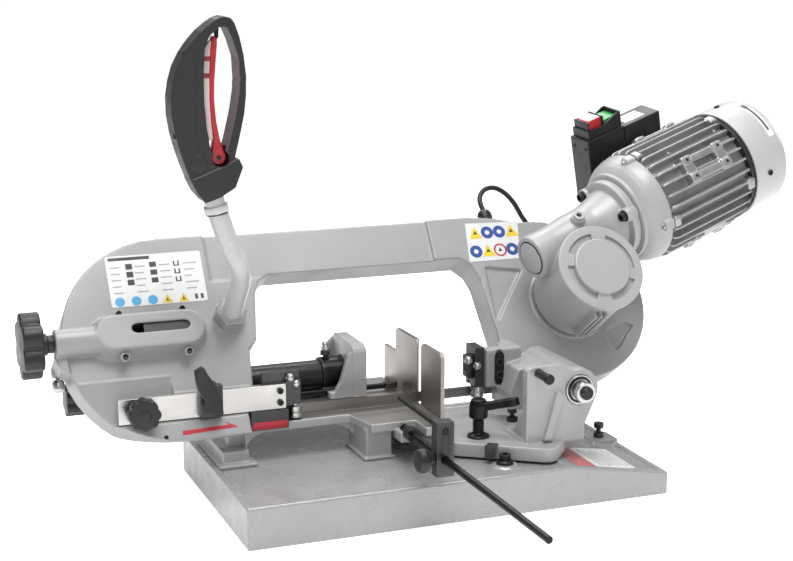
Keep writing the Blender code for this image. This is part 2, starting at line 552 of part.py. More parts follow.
def blade():
    """Closed ribbon: flat on the wheels, turned until its teeth face down between the guides."""
    rows = []
    up, out = UP.copy(), OUT.copy()
    origin = Vector((0, BLADE_Y, BLADE_Z))
    turn = math.pi / 2 - TILT

    def put(x, s, thick, wide):
        c = origin + Vector((x, 0, 0)) + up * s
        a, b = thick * (BLADE_T / 2), wide * (BLADE_W / 2)
        rows.append([c - a - b, c + a - b, c + a + b, c - a + b])

    lower = [(IDLER_X, 0.0), (-268, 0.0)] + [(-268 + 13.1 * k, k / 9.0) for k in range(1, 9)] + \
            [(-150, 1.0), (84, 1.0)] + [(84 + 15.4 * k, 1.0 - k / 9.0) for k in range(1, 9)] + [(DRIVE_X, 0.0)]
    for x, f in lower:
        rot = Matrix.Rotation(-turn * f, 3, 'X')
        put(x, 0.0, rot @ up, rot @ out)
    for k in range(1, 20):
        a = -math.pi / 2 + math.pi * k / 20
        c, s = math.cos(a), math.sin(a)
        thick = Vector((-c, 0, 0)) - up * s
        put(DRIVE_X + WHEEL_C * c, WHEEL_C + WHEEL_C * s, thick, out)
    put(DRIVE_X, 2 * WHEEL_C, -up, out)
    put(IDLER_X, 2 * WHEEL_C, -up, out)
    for k in range(1, 20):
        a = math.pi / 2 + math.pi * k / 20
        c, s = math.cos(a), math.sin(a)
        thick = Vector((-c, 0, 0)) - up * s
        put(IDLER_X + WHEEL_C * c, WHEEL_C + WHEEL_C * s, thick, out)
    return done("blade", loop(rows), "ground_steel", PIVOT)


def wheel(name, x, bore):
    m = at(BOW, x, WHEEL_C, 0)
    body = lathe([(bore, -8), (22, -8), (22, -3), (80, -3), (83, -8), (WHEEL_R, -8), (WHEEL_R, 6.9), (95.8, 6.9),
                  (95.8, 9.3), (83, 9.3), (80, 3), (22, 3), (22, 9.3), (bore, 9.3)], m, 28)
    holes = [cyl(13, -6, 6, at(m, 52 * math.cos(a), 52 * math.sin(a), 0), 8)
             for a in [math.radians(72 * k + 30) for k in range(5)]]
    carve(body, (), holes)
    return done(name, body, "cast_aluminium", pt(BOW, x, WHEEL_C, 0))


def idler_parts():
    m = at(BOW, IDLER_X, WHEEL_C, 0)
    slide = box(-26, 26, -14.2, 14.2, 20.5, 44.0, m)
    axle = cyl(7.9, -9.5, 24, m, 20)
    carve(slide, (axle,), (cyl(5.3, -40, 20, along_x(m, 0, 0, TENSION_T - 6), 16),))
    done("idler_slide", slide, "dark_steel", pt(BOW, IDLER_X, WHEEL_C, 0))
    axis = along_x(BOW, 0, TENSION_S, TENSION_T - 6)
    knob = prism(star(28, 37, 6), -447, -424, axis)
    carve(knob, (lathe([(0, -426), (12, -426), (12, -418), (10, -417), (10, -410.5), (5.0, -410.5), (5.0, -268),
                        (0, -268)], axis, 16),))
    done("tension_knob", knob, "black_plastic", pt(BOW, -430, TENSION_S, TENSION_T - 6))


def handle():
    base = pt(BOW, -208, 110, 46.4)
    points = [pt(BOW, -208, 110, 32), base, base + Vector((0, -20, 22)), base + Vector((0, -36, 41)),
              base + Vector((-2, -45, 54)), base + Vector((-7, -49, 67)), base + Vector((-14, -49, 82)),
              Vector((-237, 148, 340)), Vector((-240, 148, 356))]
    tube = sweep(points, circle(9.6, 14))
    direction = (points[-1] - points[-2]).normalized()
    right = direction.cross(Vector((0, 1, 0))).normalized()
    m = frame(Vector((-237.6, 148, 343)), right, direction.cross(right), direction)
    carve(tube, (ring(8.0, 15.0, -12, -1.5, m, 6),))
    done("handle_tube", tube, "steel", PIVOT)


def grip_points():
    return [(-12, 4), (4, 8), (20, 20), (22.2, 52), (25.2, 63.5), (29.1, 79.4), (33.1, 97), (35.4, 116.5),
            (35.9, 137.5), (33.6, 159), (29.4, 178.3), (24.3, 193.3), (20, 198.6), (13, 200.5), (6.2, 198.5),
            (-1, 194), (-12.7, 185), (-23.8, 172.8), (-31.4, 162.3), (-38.9, 148.3), (-43.8, 132.5),
            (-46.6, 115), (-46.2, 95.8), (-43.2, 76.5), (-38.1, 57.3), (-32.2, 39.7), (-27, 26.6)]


def grip():
    m = frame(GRIP, (1, 0, 0), (0, 0, 1), (0, -1, 0))
    body = prism(grip_points(), -15, 15, m)
    hole = prism([(15.6, 188.6), (7, 188.9), (-2, 181), (-8.1, 171), (-10.5, 140), (-10.6, 113), (-8.2, 79),
                  (-4.9, 60), (-1, 56), (12, 57), (16.2, 69.5), (23.5, 99), (27.4, 122), (28, 134), (26.9, 157),
                  (21.3, 175.4)][::-1], -30, 30, m)
    slot = prism([(-16, 58), (0, 44), (12, 44), (12, 60), (8, 182), (2, 186), (-8, 183), (-16, 176),
                  (-20.5, 166), (-23, 140), (-24, 112), (-22, 85)], -6.5, 6.5, m)
    ear = prism([(-8, 41), (6, 38), (16, 41), (18, 60), (0, 68), (-12, 62)], -6.5, 6.5, m)
    eye = cyl(9.4, 5, 30, at(m, 6.2, 50, 0), 20)
    socket = cyl(11.4, -6, 24, at(WORLD, -239.2, 148, GRIP[2] - 2), 20)
    collar = prism([(-12, 2.5), (4, 7.5), (21.4, 17.6), (30.2, 39.7), (25.6, 49.5), (12, 42.5), (-4, 36.5),
                    (-17, 31.5), (-28, 28), (-21, 13.5)], -17, 17, m)
    carve(body, (collar,), (hole, slot, ear, eye, socket))
    return done("handle_grip", body, "grip_rubber", PIVOT)


def trigger():
    m = frame(GRIP, (1, 0, 0), (0, 0, 1), (0, -1, 0))
    lever = prism([(-2, 55), (1, 46), (12, 46), (12.6, 55), (7.5, 70), (4, 90), (2.4, 112), (3, 131), (5, 150),
                   (7, 170), (7.5, 178), (3, 180), (-3, 176), (-7, 168), (-9, 140), (-9.2, 112), (-7.5, 85),
                   (-4.5, 65)], -5.5, 5.5, m)
    carve(lever, (cyl(8, -5.5, 5.5, at(m, 6.2, 50, 0), 16),))
    return done("trigger", lever, "red_plastic", pt(m, 6.2, 50, 0))


# ---- blade guides -----------------------------------------------------------------------------
def guide_arm():
    bar = box(-351, -160, 150.3, 158.0, BAR_Z0, BAR_Z1)
    done("guide_arm", bar, "steel", PIVOT)
    block = carve(box(-186, -142, 158.3, 164, 110, 145), (box(-160, -142.5, 151, 181, 108, 136),
                                                         box(-160, -159.7, 151, 158.5, 110, 134)),
                  (box(-190, -159.7, 140, 158.3, 90, 140),))
    carve(block, (), (box(-170, -130, 168.6, 173.4, 80, 112),))
    done("left_guide_block", block, "dark_steel", PIVOT)
    for name, x, foot in (("left_guide_bearing", -146.0, 88.5), ("right_guide_bearing", 81.0, 86.6)):
        b = lathe([(0, foot), (4, foot), (5, foot + 1.2), (8.1, foot + 1.2), (8.1, 95.2), (7.4, 95.6), (8.1, 96),
                   (8.1, 103.5), (4, 103.5), (4, 107.6), (0, 107.6)], at(WORLD, x, 162.0, 0), 16)
        done(name, b, "steel", (x, 162.0, 95))
    guard = carve(box(-202, -158, 148, 150, 82, 104.2), (box(-202, -158, 148.2, 177, 102.4, 104.2),))
    done("blade_guard", guard, "dark_steel", PIVOT)


def guide_clamp():
    block = carve(box(-262, -236, 140, 150, 106, 142), (box(-258, -240, 140, 163, 134, 142),))
    carve(block, (), (cyl(4.3, 130, 170, along_y(WORLD, -250, 0, 120), 12),))
    done("guide_clamp_block", block, "dark_steel", PIVOT)
    side = Matrix.Rotation(math.pi / 2, 4, 'X')
    wing = prism([(-266, 164), (-260, 168), (-252, 166), (-243, 142), (-234, 112), (-237, 104), (-245, 101),
                  (-252, 108), (-262, 150)][::-1], -139.5, -129, side)
    carve(wing, (cyl(9.5, 126, 139.7, along_y(WORLD, -248, 0, 122), 16),
                 cyl(3.9, 139, 149.9, along_y(WORLD, -250, 0, 120), 12)))
    done("guide_clamp_lever", wing, "black_plastic", (-250, 140, 120))
    star_k = prism(star(14.5, 18, 7), 128, 144, along_y(WORLD, -326, 0, 119))
    carve(star_k, (cyl(9, 143, 150, along_y(WORLD, -326, 0, 119), 16),))
    done("guide_knob", star_k, "black_plastic", (-326, 140, 119))


def right_guide():
    bar = carve(box(74, 85.7, 152, 180, 103.8, 152), (box(68, 76, 158, 176, 114, 140),))
    carve(bar, (), (box(60, 90, 169, 173.4, 80, 108), cyl(4.3, 100, 108.2, at(WORLD, 81, 162, 0), 12)))
    done("right_guide_block", bar, "dark_steel", PIVOT)


# ---- gearbox and motor ------------------------------------------------------------------------
def gearbox():
    g = at(BOW, DRIVE_X, WHEEL_C, 0)
    axis = along_x(MOTOR)
    drum = cyl(46, 26.9, 36, g, 28)
    body = carve(drum, (cyl(50, 34, 119.5, g, 28), lathe([(0, -49.8), (25, -49.8), (27, -47), (27, -20), (30, 10),
                                                           (30, 40), (40, 74), (0, 74)], axis, 20),
                        cyl(50, 73, 84, axis, 28), box(-20, 30, -33, -10, 50, 78, g)))
    plug = cyl(7, 22, 37, along_y(MOTOR @ Matrix.Rotation(math.radians(70), 4, 'X'), 17), 12)
    ribs = [prism([(x - 1.5, -58), (x + 1.5, -58), (x + 1.5, -44), (x - 1.5, -44)], 50, 112, g)
            for x in (-16, -9, -2)]
    carve(body, [plug] + ribs)
    cuts = (cyl(43, 31.5, 140, g, 28), cyl(20.5, -44, 70, axis, 16), cyl(14, 60, 100, axis, 16),
            cyl(10.4, 0, 60, g))
    carve(body, (), cuts)
    done("gearbox_housing", body, "light_paint", PIVOT)
    cover = lathe([(0, 119.8), (53, 119.8), (54, 121), (54, 125), (53, 126), (31, 126), (31, 129), (29, 130.5),
                   (0, 130.5)], g, 28)
    done("gearbox_cover", cover, "light_paint", PIVOT)


def gears():
    g = at(BOW, DRIVE_X, WHEEL_C, 0)
    gear = prism(star(34.3, 36.8, 24, 2), 73, 95, g)
    carve(gear, (cyl(16, 62, 104, g, 20), cyl(10, -9.5, 118, g, 20)))
    done("worm_wheel", gear, "bronze", pt(BOW, DRIVE_X, WHEEL_C, 0))
    axis = along_x(MOTOR)
    worm = lathe([(0, -42), (10, -42), (10, -20), (18.4, -18), (16, -12), (18.4, -6), (16, 0), (18.4, 6),
                  (16, 12), (18.4, 18), (10, 20), (10, 83), (8.0, 83), (8.0, 155), (36, 155), (36, 230), (8, 230),
                  (8.0, 282), (0, 282)], axis, 20)
    done("worm_shaft", worm, "steel", pt(MOTOR, 0, 0, 0))


def motor():
    axis = along_x(MOTOR)
    bell = lathe([(8.6, 84.3), (52, 84.3), (55, 88), (63, 97), (68, 108), (69, 118), (60, 118), (58, 110),
                  (51, 100), (42, 94), (8.6, 94)], axis, 28)
    lugs = [box(106, 117.8, 62, 73.2, -6, 6, MOTOR @ Matrix.Rotation(a, 4, 'X')) for a in motor_lugs()]
    carve(bell, lugs)
    done("motor_end_bell", bell, "light_paint", PIVOT)
    n, poly = 30, []
    for k in range(n):
        a = 2 * math.pi * k / n
        for da, r in ((-0.055, MOTOR_CORE), (-0.038, MOTOR_R), (0.038, MOTOR_R), (0.055, MOTOR_CORE)):
            poly.append((r * math.cos(a + da), r * math.sin(a + da)))
    shell = prism(poly, 118.3, 256, axis)
    lugs = [box(x, x + 12, 58, 73.2, -6, 6, MOTOR @ Matrix.Rotation(a, 4, 'X'))
            for x in (118.6, 243.7) for a in motor_lugs()]
    seats = [box(x - 8, x + 8, p, p + 16, q, q + 16, SWITCH) for x in (168, 219.5) for p, q in
             ((37, 37), (-53, 37), (37, -53), (-53, -53))]
    pad = box(142, 202, -22, 30, -73.2, -56, SWITCH)
    carve(shell, lugs + seats + [pad], (cyl(54, 110, 262, axis, 28),))
    done("motor_body", shell, "cast_aluminium", PIVOT)
    stator = ring(38, 53.7, 160, 225, axis, 28)
    done("motor_stator", stator, "copper", PIVOT)
    shield = lathe([(8.6, 256.3), (67.6, 256.3), (67.6, 268), (64, 268), (64, 261), (30, 263), (8.6, 263)],
                   axis, 28)
    done("motor_end_shield", shield, "dark_steel", PIVOT)
    fan = ring(8.4, 17, 265.6, 284, axis, 20)
    vanes = [box(270, 298, 10, 58, -1.2, 1.2, MOTOR @ Matrix.Rotation(2 * math.pi * k / 6, 4, 'X'))
             for k in range(6)]
    carve(fan, vanes + [ring(12, 56, 267, 271.5, axis, 24)])
    done("motor_fan", fan, "black_plastic", pt(MOTOR, 0, 0, 0))
    cover = lathe([(68, 262), (70.5, 262), (70.5, 308), (68, 316), (60, 322.5), (48, 325), (0, 325), (0, 322.5),
                   (47, 322.5), (58, 320), (65.8, 313.5), (68, 307)], axis, 28)
    slots = [box(317, 331, 12, 44, -1.8, 1.8, MOTOR @ Matrix.Rotation(2 * math.pi * k / 10, 4, 'X'))
             for k in range(10)]
    carve(cover, (), slots)
    done("fan_cover", cover, "light_paint", PIVOT)


def motor_lugs():
    return [math.radians(a) for a in (50, 135, 230, 315)]


def switch():
    shell = box(115.5, 176.5, -25, 70, -108, -73.5, SWITCH)
    done("switch_box", shell, "black_plastic", PIVOT)
    head = prism([(119, 70.3), (174, 70.3), (174, 91), (168, 91), (146, 82), (119, 82)], 73.5 + 1.5, 105.5,
                 SWITCH @ Matrix.Scale(-1, 4, (0, 0, 1)))
    room = box(122, 171, 72.5, 99, -103, -77.5, SWITCH)
    carve(head, (), (room,))
    done("switch_head", head, "black_plastic", PIVOT)
    red = box(123, 144.6, 75.8, 93, -102, -78.5, SWITCH)
    done("stop_button", red, "red_plastic", pt(SWITCH, 134, 84, -90))
    green = box(147.6, 170, 75.8, 87, -102, -78.5, SWITCH)
    done("start_button", green, "green_plastic", pt(SWITCH, 159, 82, -90))
    cap = box(177, 238, 14, 68, -108, -73.5, SWITCH)
    done("capacitor_box", cap, "grey_plastic", PIVOT)


def cable():
    m = along_y(BOW, 150, 0, 2)
    gland = lathe([(0, 196), (3.9, 196), (3.9, 213.8), (11, 213.8), (11, 220.5), (9.5, 221.5), (9, 228), (6, 233),
                   (0, 233)], m, 12)
    done("cable_gland", gland, "black_plastic", PIVOT)
    end = pt(SWITCH, 142, -25.4, -90)
    raw = [pt(BOW, 150, 233.4, 2), pt(BOW, 149, 246, 1), pt(BOW, 153, 257, 0), pt(BOW, 163, 265, -1),
           pt(BOW, 177, 266, -3), pt(BOW, 190, 259, -6), pt(BOW, 201, 246, -10), pt(BOW, 212, 228, -18),
           pt(BOW, 226, 213, -25), pt(BOW, 246, 206, -28), pt(BOW, 272, 207, -25), pt(BOW, 296, 214, -14)]
    raw += [end - (SWITCH.to_3x3() @ Vector((0, 12, 0))), end]
    done("control_cable", sweep(raw, circle(3.2, 8)), "cable", PIVOT)


def settle():
    """Move the saw so the middle of its bounding-box floor is the world origin."""
    bpy.context.view_layer.update()
    obs = [o for o in bpy.data.objects if o.type == 'MESH']
    pts = [o.matrix_world @ v.co for o in obs for v in o.data.vertices]
    lo = [min(p[i] for p in pts) for i in range(3)]
    hi = [max(p[i] for p in pts) for i in range(3)]
    move = Vector((-(lo[0] + hi[0]) / 2, -(lo[1] + hi[1]) / 2, -lo[2]))
    for o in obs:
        o.location += move
    print("shift", [round(c, 6) for c in move], "size", [round(hi[i] - lo[i], 5) for i in range(3)])


def build():
    for ob in list(bpy.data.objects):
        bpy.data.objects.remove(ob, do_unlink=True)
    base_tray()
    vise_bed()
    fixed_jaws()
    movable_jaw()
    vise_parts()
    length_stop()
    mitre_stops()
    swivel_arm()
    swivel_parts()
    bow_frame()
    rear_cover()
    cover_screws()
    blade()
    wheel("idler_wheel", IDLER_X, 8.2)
    wheel("drive_wheel", DRIVE_X, 10.3)
    idler_parts()
    handle()
    grip()
    trigger()
    guide_arm()
    guide_clamp()
    right_guide()
    gearbox()
    gears()
    motor()
    switch()
    cable()
    settle()


build()
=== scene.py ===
"""Looks of the horizontal metal-cutting band saw.

Every shape is given in millimetres in the saw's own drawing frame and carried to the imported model's
frame by ORIGIN.  Castings are copies of the CAD solids with their edges rounded as a foundry leaves
them, machined and moulded parts get bevelled edges, and small hardware is added on top.
"""
import json
from math import atan2, cos, hypot, pi, radians, sin, sqrt
import bpy
import bmesh
from mathutils import Matrix, Vector


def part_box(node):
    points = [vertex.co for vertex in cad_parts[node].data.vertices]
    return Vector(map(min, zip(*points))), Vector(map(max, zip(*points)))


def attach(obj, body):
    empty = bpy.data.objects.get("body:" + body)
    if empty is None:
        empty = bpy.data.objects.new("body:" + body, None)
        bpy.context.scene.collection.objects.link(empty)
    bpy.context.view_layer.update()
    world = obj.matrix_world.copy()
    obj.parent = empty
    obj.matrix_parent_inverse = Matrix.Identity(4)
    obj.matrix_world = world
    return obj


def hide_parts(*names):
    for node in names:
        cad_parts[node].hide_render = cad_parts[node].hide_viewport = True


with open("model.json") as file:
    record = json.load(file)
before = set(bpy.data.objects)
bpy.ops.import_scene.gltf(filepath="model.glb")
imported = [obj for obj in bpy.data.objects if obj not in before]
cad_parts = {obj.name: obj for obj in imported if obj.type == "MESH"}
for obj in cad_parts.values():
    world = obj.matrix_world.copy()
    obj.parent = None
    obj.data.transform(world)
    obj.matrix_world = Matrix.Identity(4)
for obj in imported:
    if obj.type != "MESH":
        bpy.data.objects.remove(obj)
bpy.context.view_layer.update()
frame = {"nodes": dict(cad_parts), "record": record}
BODY_OF = {n: b for b, nodes in frame["record"]["behaviour"]["bodies"].items() for n in nodes}

# ---- frames ----
MM = 0.001
BASE_LO, BASE_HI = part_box("base_tray")
ORIGIN = Matrix.Translation(((BASE_LO.x + BASE_HI.x) / 2, BASE_LO.y, 0)) @ Matrix.Scale(MM, 4)
TILT = radians(35)  # the bow plane leans back by this much
BLADE_Y, BLADE_Z = 171, 95.1  # centre of the straight cutting run
WHEEL_C, IDLER_X, DRIVE_X = 94.45, -285, 222.5
WORM_T, WORM_OFF, WORM_PHI = 84, 56, radians(20.2)
SWITCH_PSI = radians(45)
FACE_T = 25  # front face of the bow above the blade's plane
PIVOT_X, PIVOT_Z = 158.4, 121
RAM_Y, RAM_Z = 255, 109
STOP_X, STOP_ROD_Z, STOP_PIN_Z = -35, 80, 112
GRIP_ORIGIN = Vector((-240, 148, 345))


def axes(origin, ex, ey, ez):
    m = Matrix.Identity(4)
    for i, v in enumerate((ex, ey, ez, origin)):
        for r in range(3):
            m[r][i] = v[r]
    return m


UP = Vector((0, sin(TILT), cos(TILT)))
OUT = Vector((0, -cos(TILT), sin(TILT)))
WORLD = Matrix.Identity(4)
BOW = axes((0, BLADE_Y, BLADE_Z), (1, 0, 0), UP, OUT)
MOTOR = BOW @ Matrix.Translation((DRIVE_X - WORM_OFF * sin(WORM_PHI),
                                  WHEEL_C + WORM_OFF * cos(WORM_PHI), WORM_T)) \
    @ Matrix.Rotation(WORM_PHI, 4, 'Z')
SWITCH = MOTOR @ Matrix.Rotation(SWITCH_PSI, 4, 'X')
GEAR = BOW @ Matrix.Translation((DRIVE_X, WHEEL_C, 0))
GRIP = axes(GRIP_ORIGIN, (1, 0, 0), (0, 0, 1), (0, -1, 0))
SLOPE = Matrix.Translation((125, 0, 46.6)) @ Matrix.Rotation(atan2(46.6 - 26, 125), 4, 'Y')


def at(m, x, y, z):
    return m @ Matrix.Translation((x, y, z))


def along_x(m, x=0, y=0, z=0):
    return at(m, x, y, z) @ Matrix.Rotation(pi / 2, 4, 'Y')


def along_y(m, x=0, y=0, z=0):
    return at(m, x, y, z) @ Matrix.Rotation(-pi / 2, 4, 'X')


def facing_front(x, y, z):
    """Placement whose local Z looks to the front of the saw."""
    return at(WORLD, x, y, z) @ Matrix.Rotation(pi / 2, 4, 'X')


def facing_bell(m, x, y):
    """Placement whose local Z looks along -X of m."""
    return at(m, x, y, 0) @ Matrix.Rotation(-pi / 2, 4, 'Y')


def on_motor(degrees):
    """The motor's frame turned round its own axis."""
    return MOTOR @ Matrix.Rotation(radians(degrees), 4, 'X')


# ---- meshes ----
WELD = 2e-5  # points nearer than this are one point
SHARP = 32  # degrees between faces that stay a visible edge


def link_object(name, data):
    ob = bpy.data.objects.new(name, data)
    bpy.context.scene.collection.objects.link(ob)
    return ob


def new_object(bm):
    me = bpy.data.meshes.new("piece")
    bm.to_mesh(me)
    bm.free()
    return link_object("piece", me)


def shade(me, angle=SHARP):
    me.shade_smooth()
    me.set_sharp_from_angle(angle=radians(angle))


def to_object(bm, m, angle=SHARP):
    """A mesh object in the model's frame from a bmesh in millimetres placed by m."""
    bmesh.ops.transform(bm, matrix=ORIGIN @ m, verts=bm.verts)
    bmesh.ops.recalc_face_normals(bm, faces=bm.faces)
    ob = new_object(bm)
    shade(ob.data, angle)
    return ob


def polar(r, k, n, turn=0):
    """Point k of n on a circle."""
    a = turn + 2 * pi * k / n
    return r * cos(a), r * sin(a)


def skin(bm, rows):
    """Quads between following closed rows of points."""
    for p, q in zip(rows, rows[1:]):
        for i in range(len(p)):
            j = (i + 1) % len(p)
            bm.faces.new((p[i], q[i], q[j], p[j]))


def turned(profile, seg):
    """bmesh of (radius, height) points turned round Z; zero radius closes on the axis."""
    bm = bmesh.new()
    rings = [[bm.verts.new((*polar(r, k, seg), h)) for k in range(1 if r == 0 else seg)] for r, h in profile]
    closed = [rings[0]] if profile[0][0] > 0 else []
    for a, b in zip(rings, rings[1:] + closed):
        for k in range(seg):
            j = (k + 1) % seg
            if len(a) == 1 and len(b) > 1:
                bm.faces.new((a[0], b[k], b[j]))
            elif len(b) == 1 and len(a) > 1:
                bm.faces.new((a[k], b[0], a[j]))
            elif len(a) > 1:
                bm.faces.new((a[k], b[k], b[j], a[j]))
    return bm


def rounded_profile(profile, r, steps=3):
    """Turned profile with its outer and inner corners eased by short arcs."""
    out = []
    for i, p in enumerate(profile):
        q = Vector(p)
        if i in (0, len(profile) - 1) or p[0] == 0:
            out.append(p)
            continue
        a, b = Vector(profile[i - 1]) - q, Vector(profile[i + 1]) - q
        cut = min(r, a.length * 0.45, b.length * 0.45)
        if cut < 0.05 or abs(a.normalized().dot(b.normalized())) > 0.97:
            out.append(p)
            continue
        s, e = q + a.normalized() * cut, q + b.normalized() * cut
        for k in range(steps + 1):
            t = k / steps
            out.append(tuple((1 - t) ** 2 * s + 2 * t * (1 - t) * q + t * t * e))
    return out


def lathe(profile, m, seg=64, ease=0.6):
    return to_object(turned(rounded_profile(profile, ease), seg), m)


def cyl(r, h0, h1, m, seg=48, ease=0.5):
    return lathe([(0, h0), (r, h0), (r, h1), (0, h1)], m, seg, ease)


def ring(r0, r1, h0, h1, m, seg=48, ease=0.4):
    return lathe([(r0, (h0 + h1) / 2), (r0, h0), (r1, h0), (r1, h1), (r0, h1)], m, seg, ease)


def prism(poly, h0, h1, m, ease=0.5, steps=2):
    """Extruded outline with eased edges."""
    bm = bmesh.new()
    lo = [bm.verts.new((x, y, h0)) for x, y in poly]
    hi = [bm.verts.new((x, y, h1)) for x, y in poly]
    n = len(poly)
    bm.faces.new(lo[::-1])
    bm.faces.new(hi)
    for i in range(n):
        bm.faces.new((lo[i], lo[(i + 1) % n], hi[(i + 1) % n], hi[i]))
    bmesh.ops.recalc_face_normals(bm, faces=bm.faces)
    if ease > 0:
        edges = [e for e in bm.edges if e.calc_face_angle(0) > radians(25)]
        bmesh.ops.bevel(bm, geom=edges, offset=ease, segments=steps, affect='EDGES', profile=0.5,
                clamp_overlap=True)
    return to_object(bm, m)


def box(x0, x1, y0, y1, z0, z1, m=WORLD, ease=0.5):
    return prism([(x0, y0), (x1, y0), (x1, y1), (x0, y1)], z0, z1, m, ease)


def arc(cx, cy, r, a0, a1, seg):
    return [(cx + r * cos(radians(a0 + (a1 - a0) * k / seg)),
            cy + r * sin(radians(a0 + (a1 - a0) * k / seg))) for k in range(seg + 1)]


def stadium(cx, cy, half, r, seg=12):
    return arc(cx + half - r, cy, r, -90, 90, seg) + arc(cx - half + r, cy, r, 90, 270, seg)


def ngon(r, n, turn=0):
    return [polar(r, k, n, turn) for k in range(n)]


def lobed(r0, r1, lobes, per=16):
    n = lobes * per
    swell = [sqrt(0.5 * (1 + cos(lobes * (2 * pi * k / n)))) for k in range(n)]
    return [polar(r0 + (r1 - r0) * v, k, n) for k, v in enumerate(swell)]


def through(points, per):
    """Smooth curve through the points (Catmull-Rom)."""
    pts = [Vector(p) for p in points]
    pts = [2 * pts[0] - pts[1]] + pts + [2 * pts[-1] - pts[-2]]
    out = []
    for i in range(1, len(pts) - 2):
        p0, p1, p2, p3 = pts[i - 1:i + 3]
        for k in range(per):
            t = k / per
            out.append(0.5 * ((2 * p1) + (p2 - p0) * t + (2 * p0 - 5 * p1 + 4 * p2 - p3) * t * t
                    + (3 * p1 - p0 - 3 * p2 + p3) * t ** 3))
    return out + [pts[-2]]


def tube(pts, r, sides):
    """Round capped tube along points, with parallel-transported sections."""
    bm = bmesh.new()
    a = (pts[1] - pts[0]).normalized().cross(Vector((0.3, 1, 0.2))).normalized()
    rows = []
    for i, p in enumerate(pts):
        d = (pts[min(i + 1, len(pts) - 1)] - pts[max(i - 1, 0)]).normalized()
        a = (a - d * a.dot(d)).normalized()
        b = d.cross(a)
        rows.append([bm.verts.new(p + (a * cos(2 * pi * k / sides)
                + b * sin(2 * pi * k / sides)) * r) for k in range(sides)])
    for r0, r1 in zip(rows, rows[1:]):
        for k in range(sides):
            j = (k + 1) % sides
            bm.faces.new((r0[k], r0[j], r1[j], r1[k]))
    bm.faces.new(rows[0][::-1])
    bm.faces.new(rows[-1])
    return to_object(bm, WORLD, 50)


def join(obs):
    """One object from several bare shapes."""
    bm = bmesh.new()
    for ob in obs:
        bm.from_mesh(ob.data)
        bpy.data.objects.remove(ob, do_unlink=True)
    return new_object(bm)


def baked(ob):
    """ob with its modifiers turned into mesh."""
    deps = bpy.context.evaluated_depsgraph_get()
    me = bpy.data.meshes.new_from_object(ob.evaluated_get(deps))
    ob.modifiers.clear()
    ob.data = me
    return ob


def modify(ob, kind, **values):
    mod = ob.modifiers.new(kind.lower(), kind)
    for key, value in values.items():
        setattr(mod, key, value)


def copy_of(node):
    """Welded copy of a CAD node's solid."""
    bm = bmesh.new()
    bm.from_mesh(frame["nodes"][node].data)
    bmesh.ops.remove_doubles(bm, verts=bm.verts, dist=WELD)
    return new_object(bm)


def carve(ob, tools):
    for tool in tools:
        modify(ob, 'BOOLEAN', operation='DIFFERENCE', solver='EXACT', object=tool)
        baked(ob)
        bpy.data.objects.remove(tool, do_unlink=True)
    return ob


def cast(ob, voxel, smooth, keep):
    """Rounds every edge of a solid as a sand or pressure casting has it."""
    modify(ob, 'REMESH', mode='VOXEL', voxel_size=voxel * MM)
    modify(ob, 'SMOOTH', factor=0.5, iterations=smooth)
    modify(ob, 'DECIMATE', ratio=keep)
    baked(ob)
    ob.data.shade_smooth()
    return ob


def crisp(ob, width, angle):
    """Machined edge: flat faces stay flat and each edge gets a small round."""
    bm = bmesh.new()
    bm.from_mesh(ob.data)
    bmesh.ops.dissolve_limit(bm, angle_limit=radians(0.5), verts=bm.verts, edges=bm.edges)
    bm.to_mesh(ob.data)
    bm.free()
    shade(ob.data, angle)
    modify(ob, 'BEVEL', width=width * MM, segments=2, limit_method='ANGLE', angle_limit=radians(angle),
           use_clamp_overlap=True, harden_normals=True)
    return baked(ob)


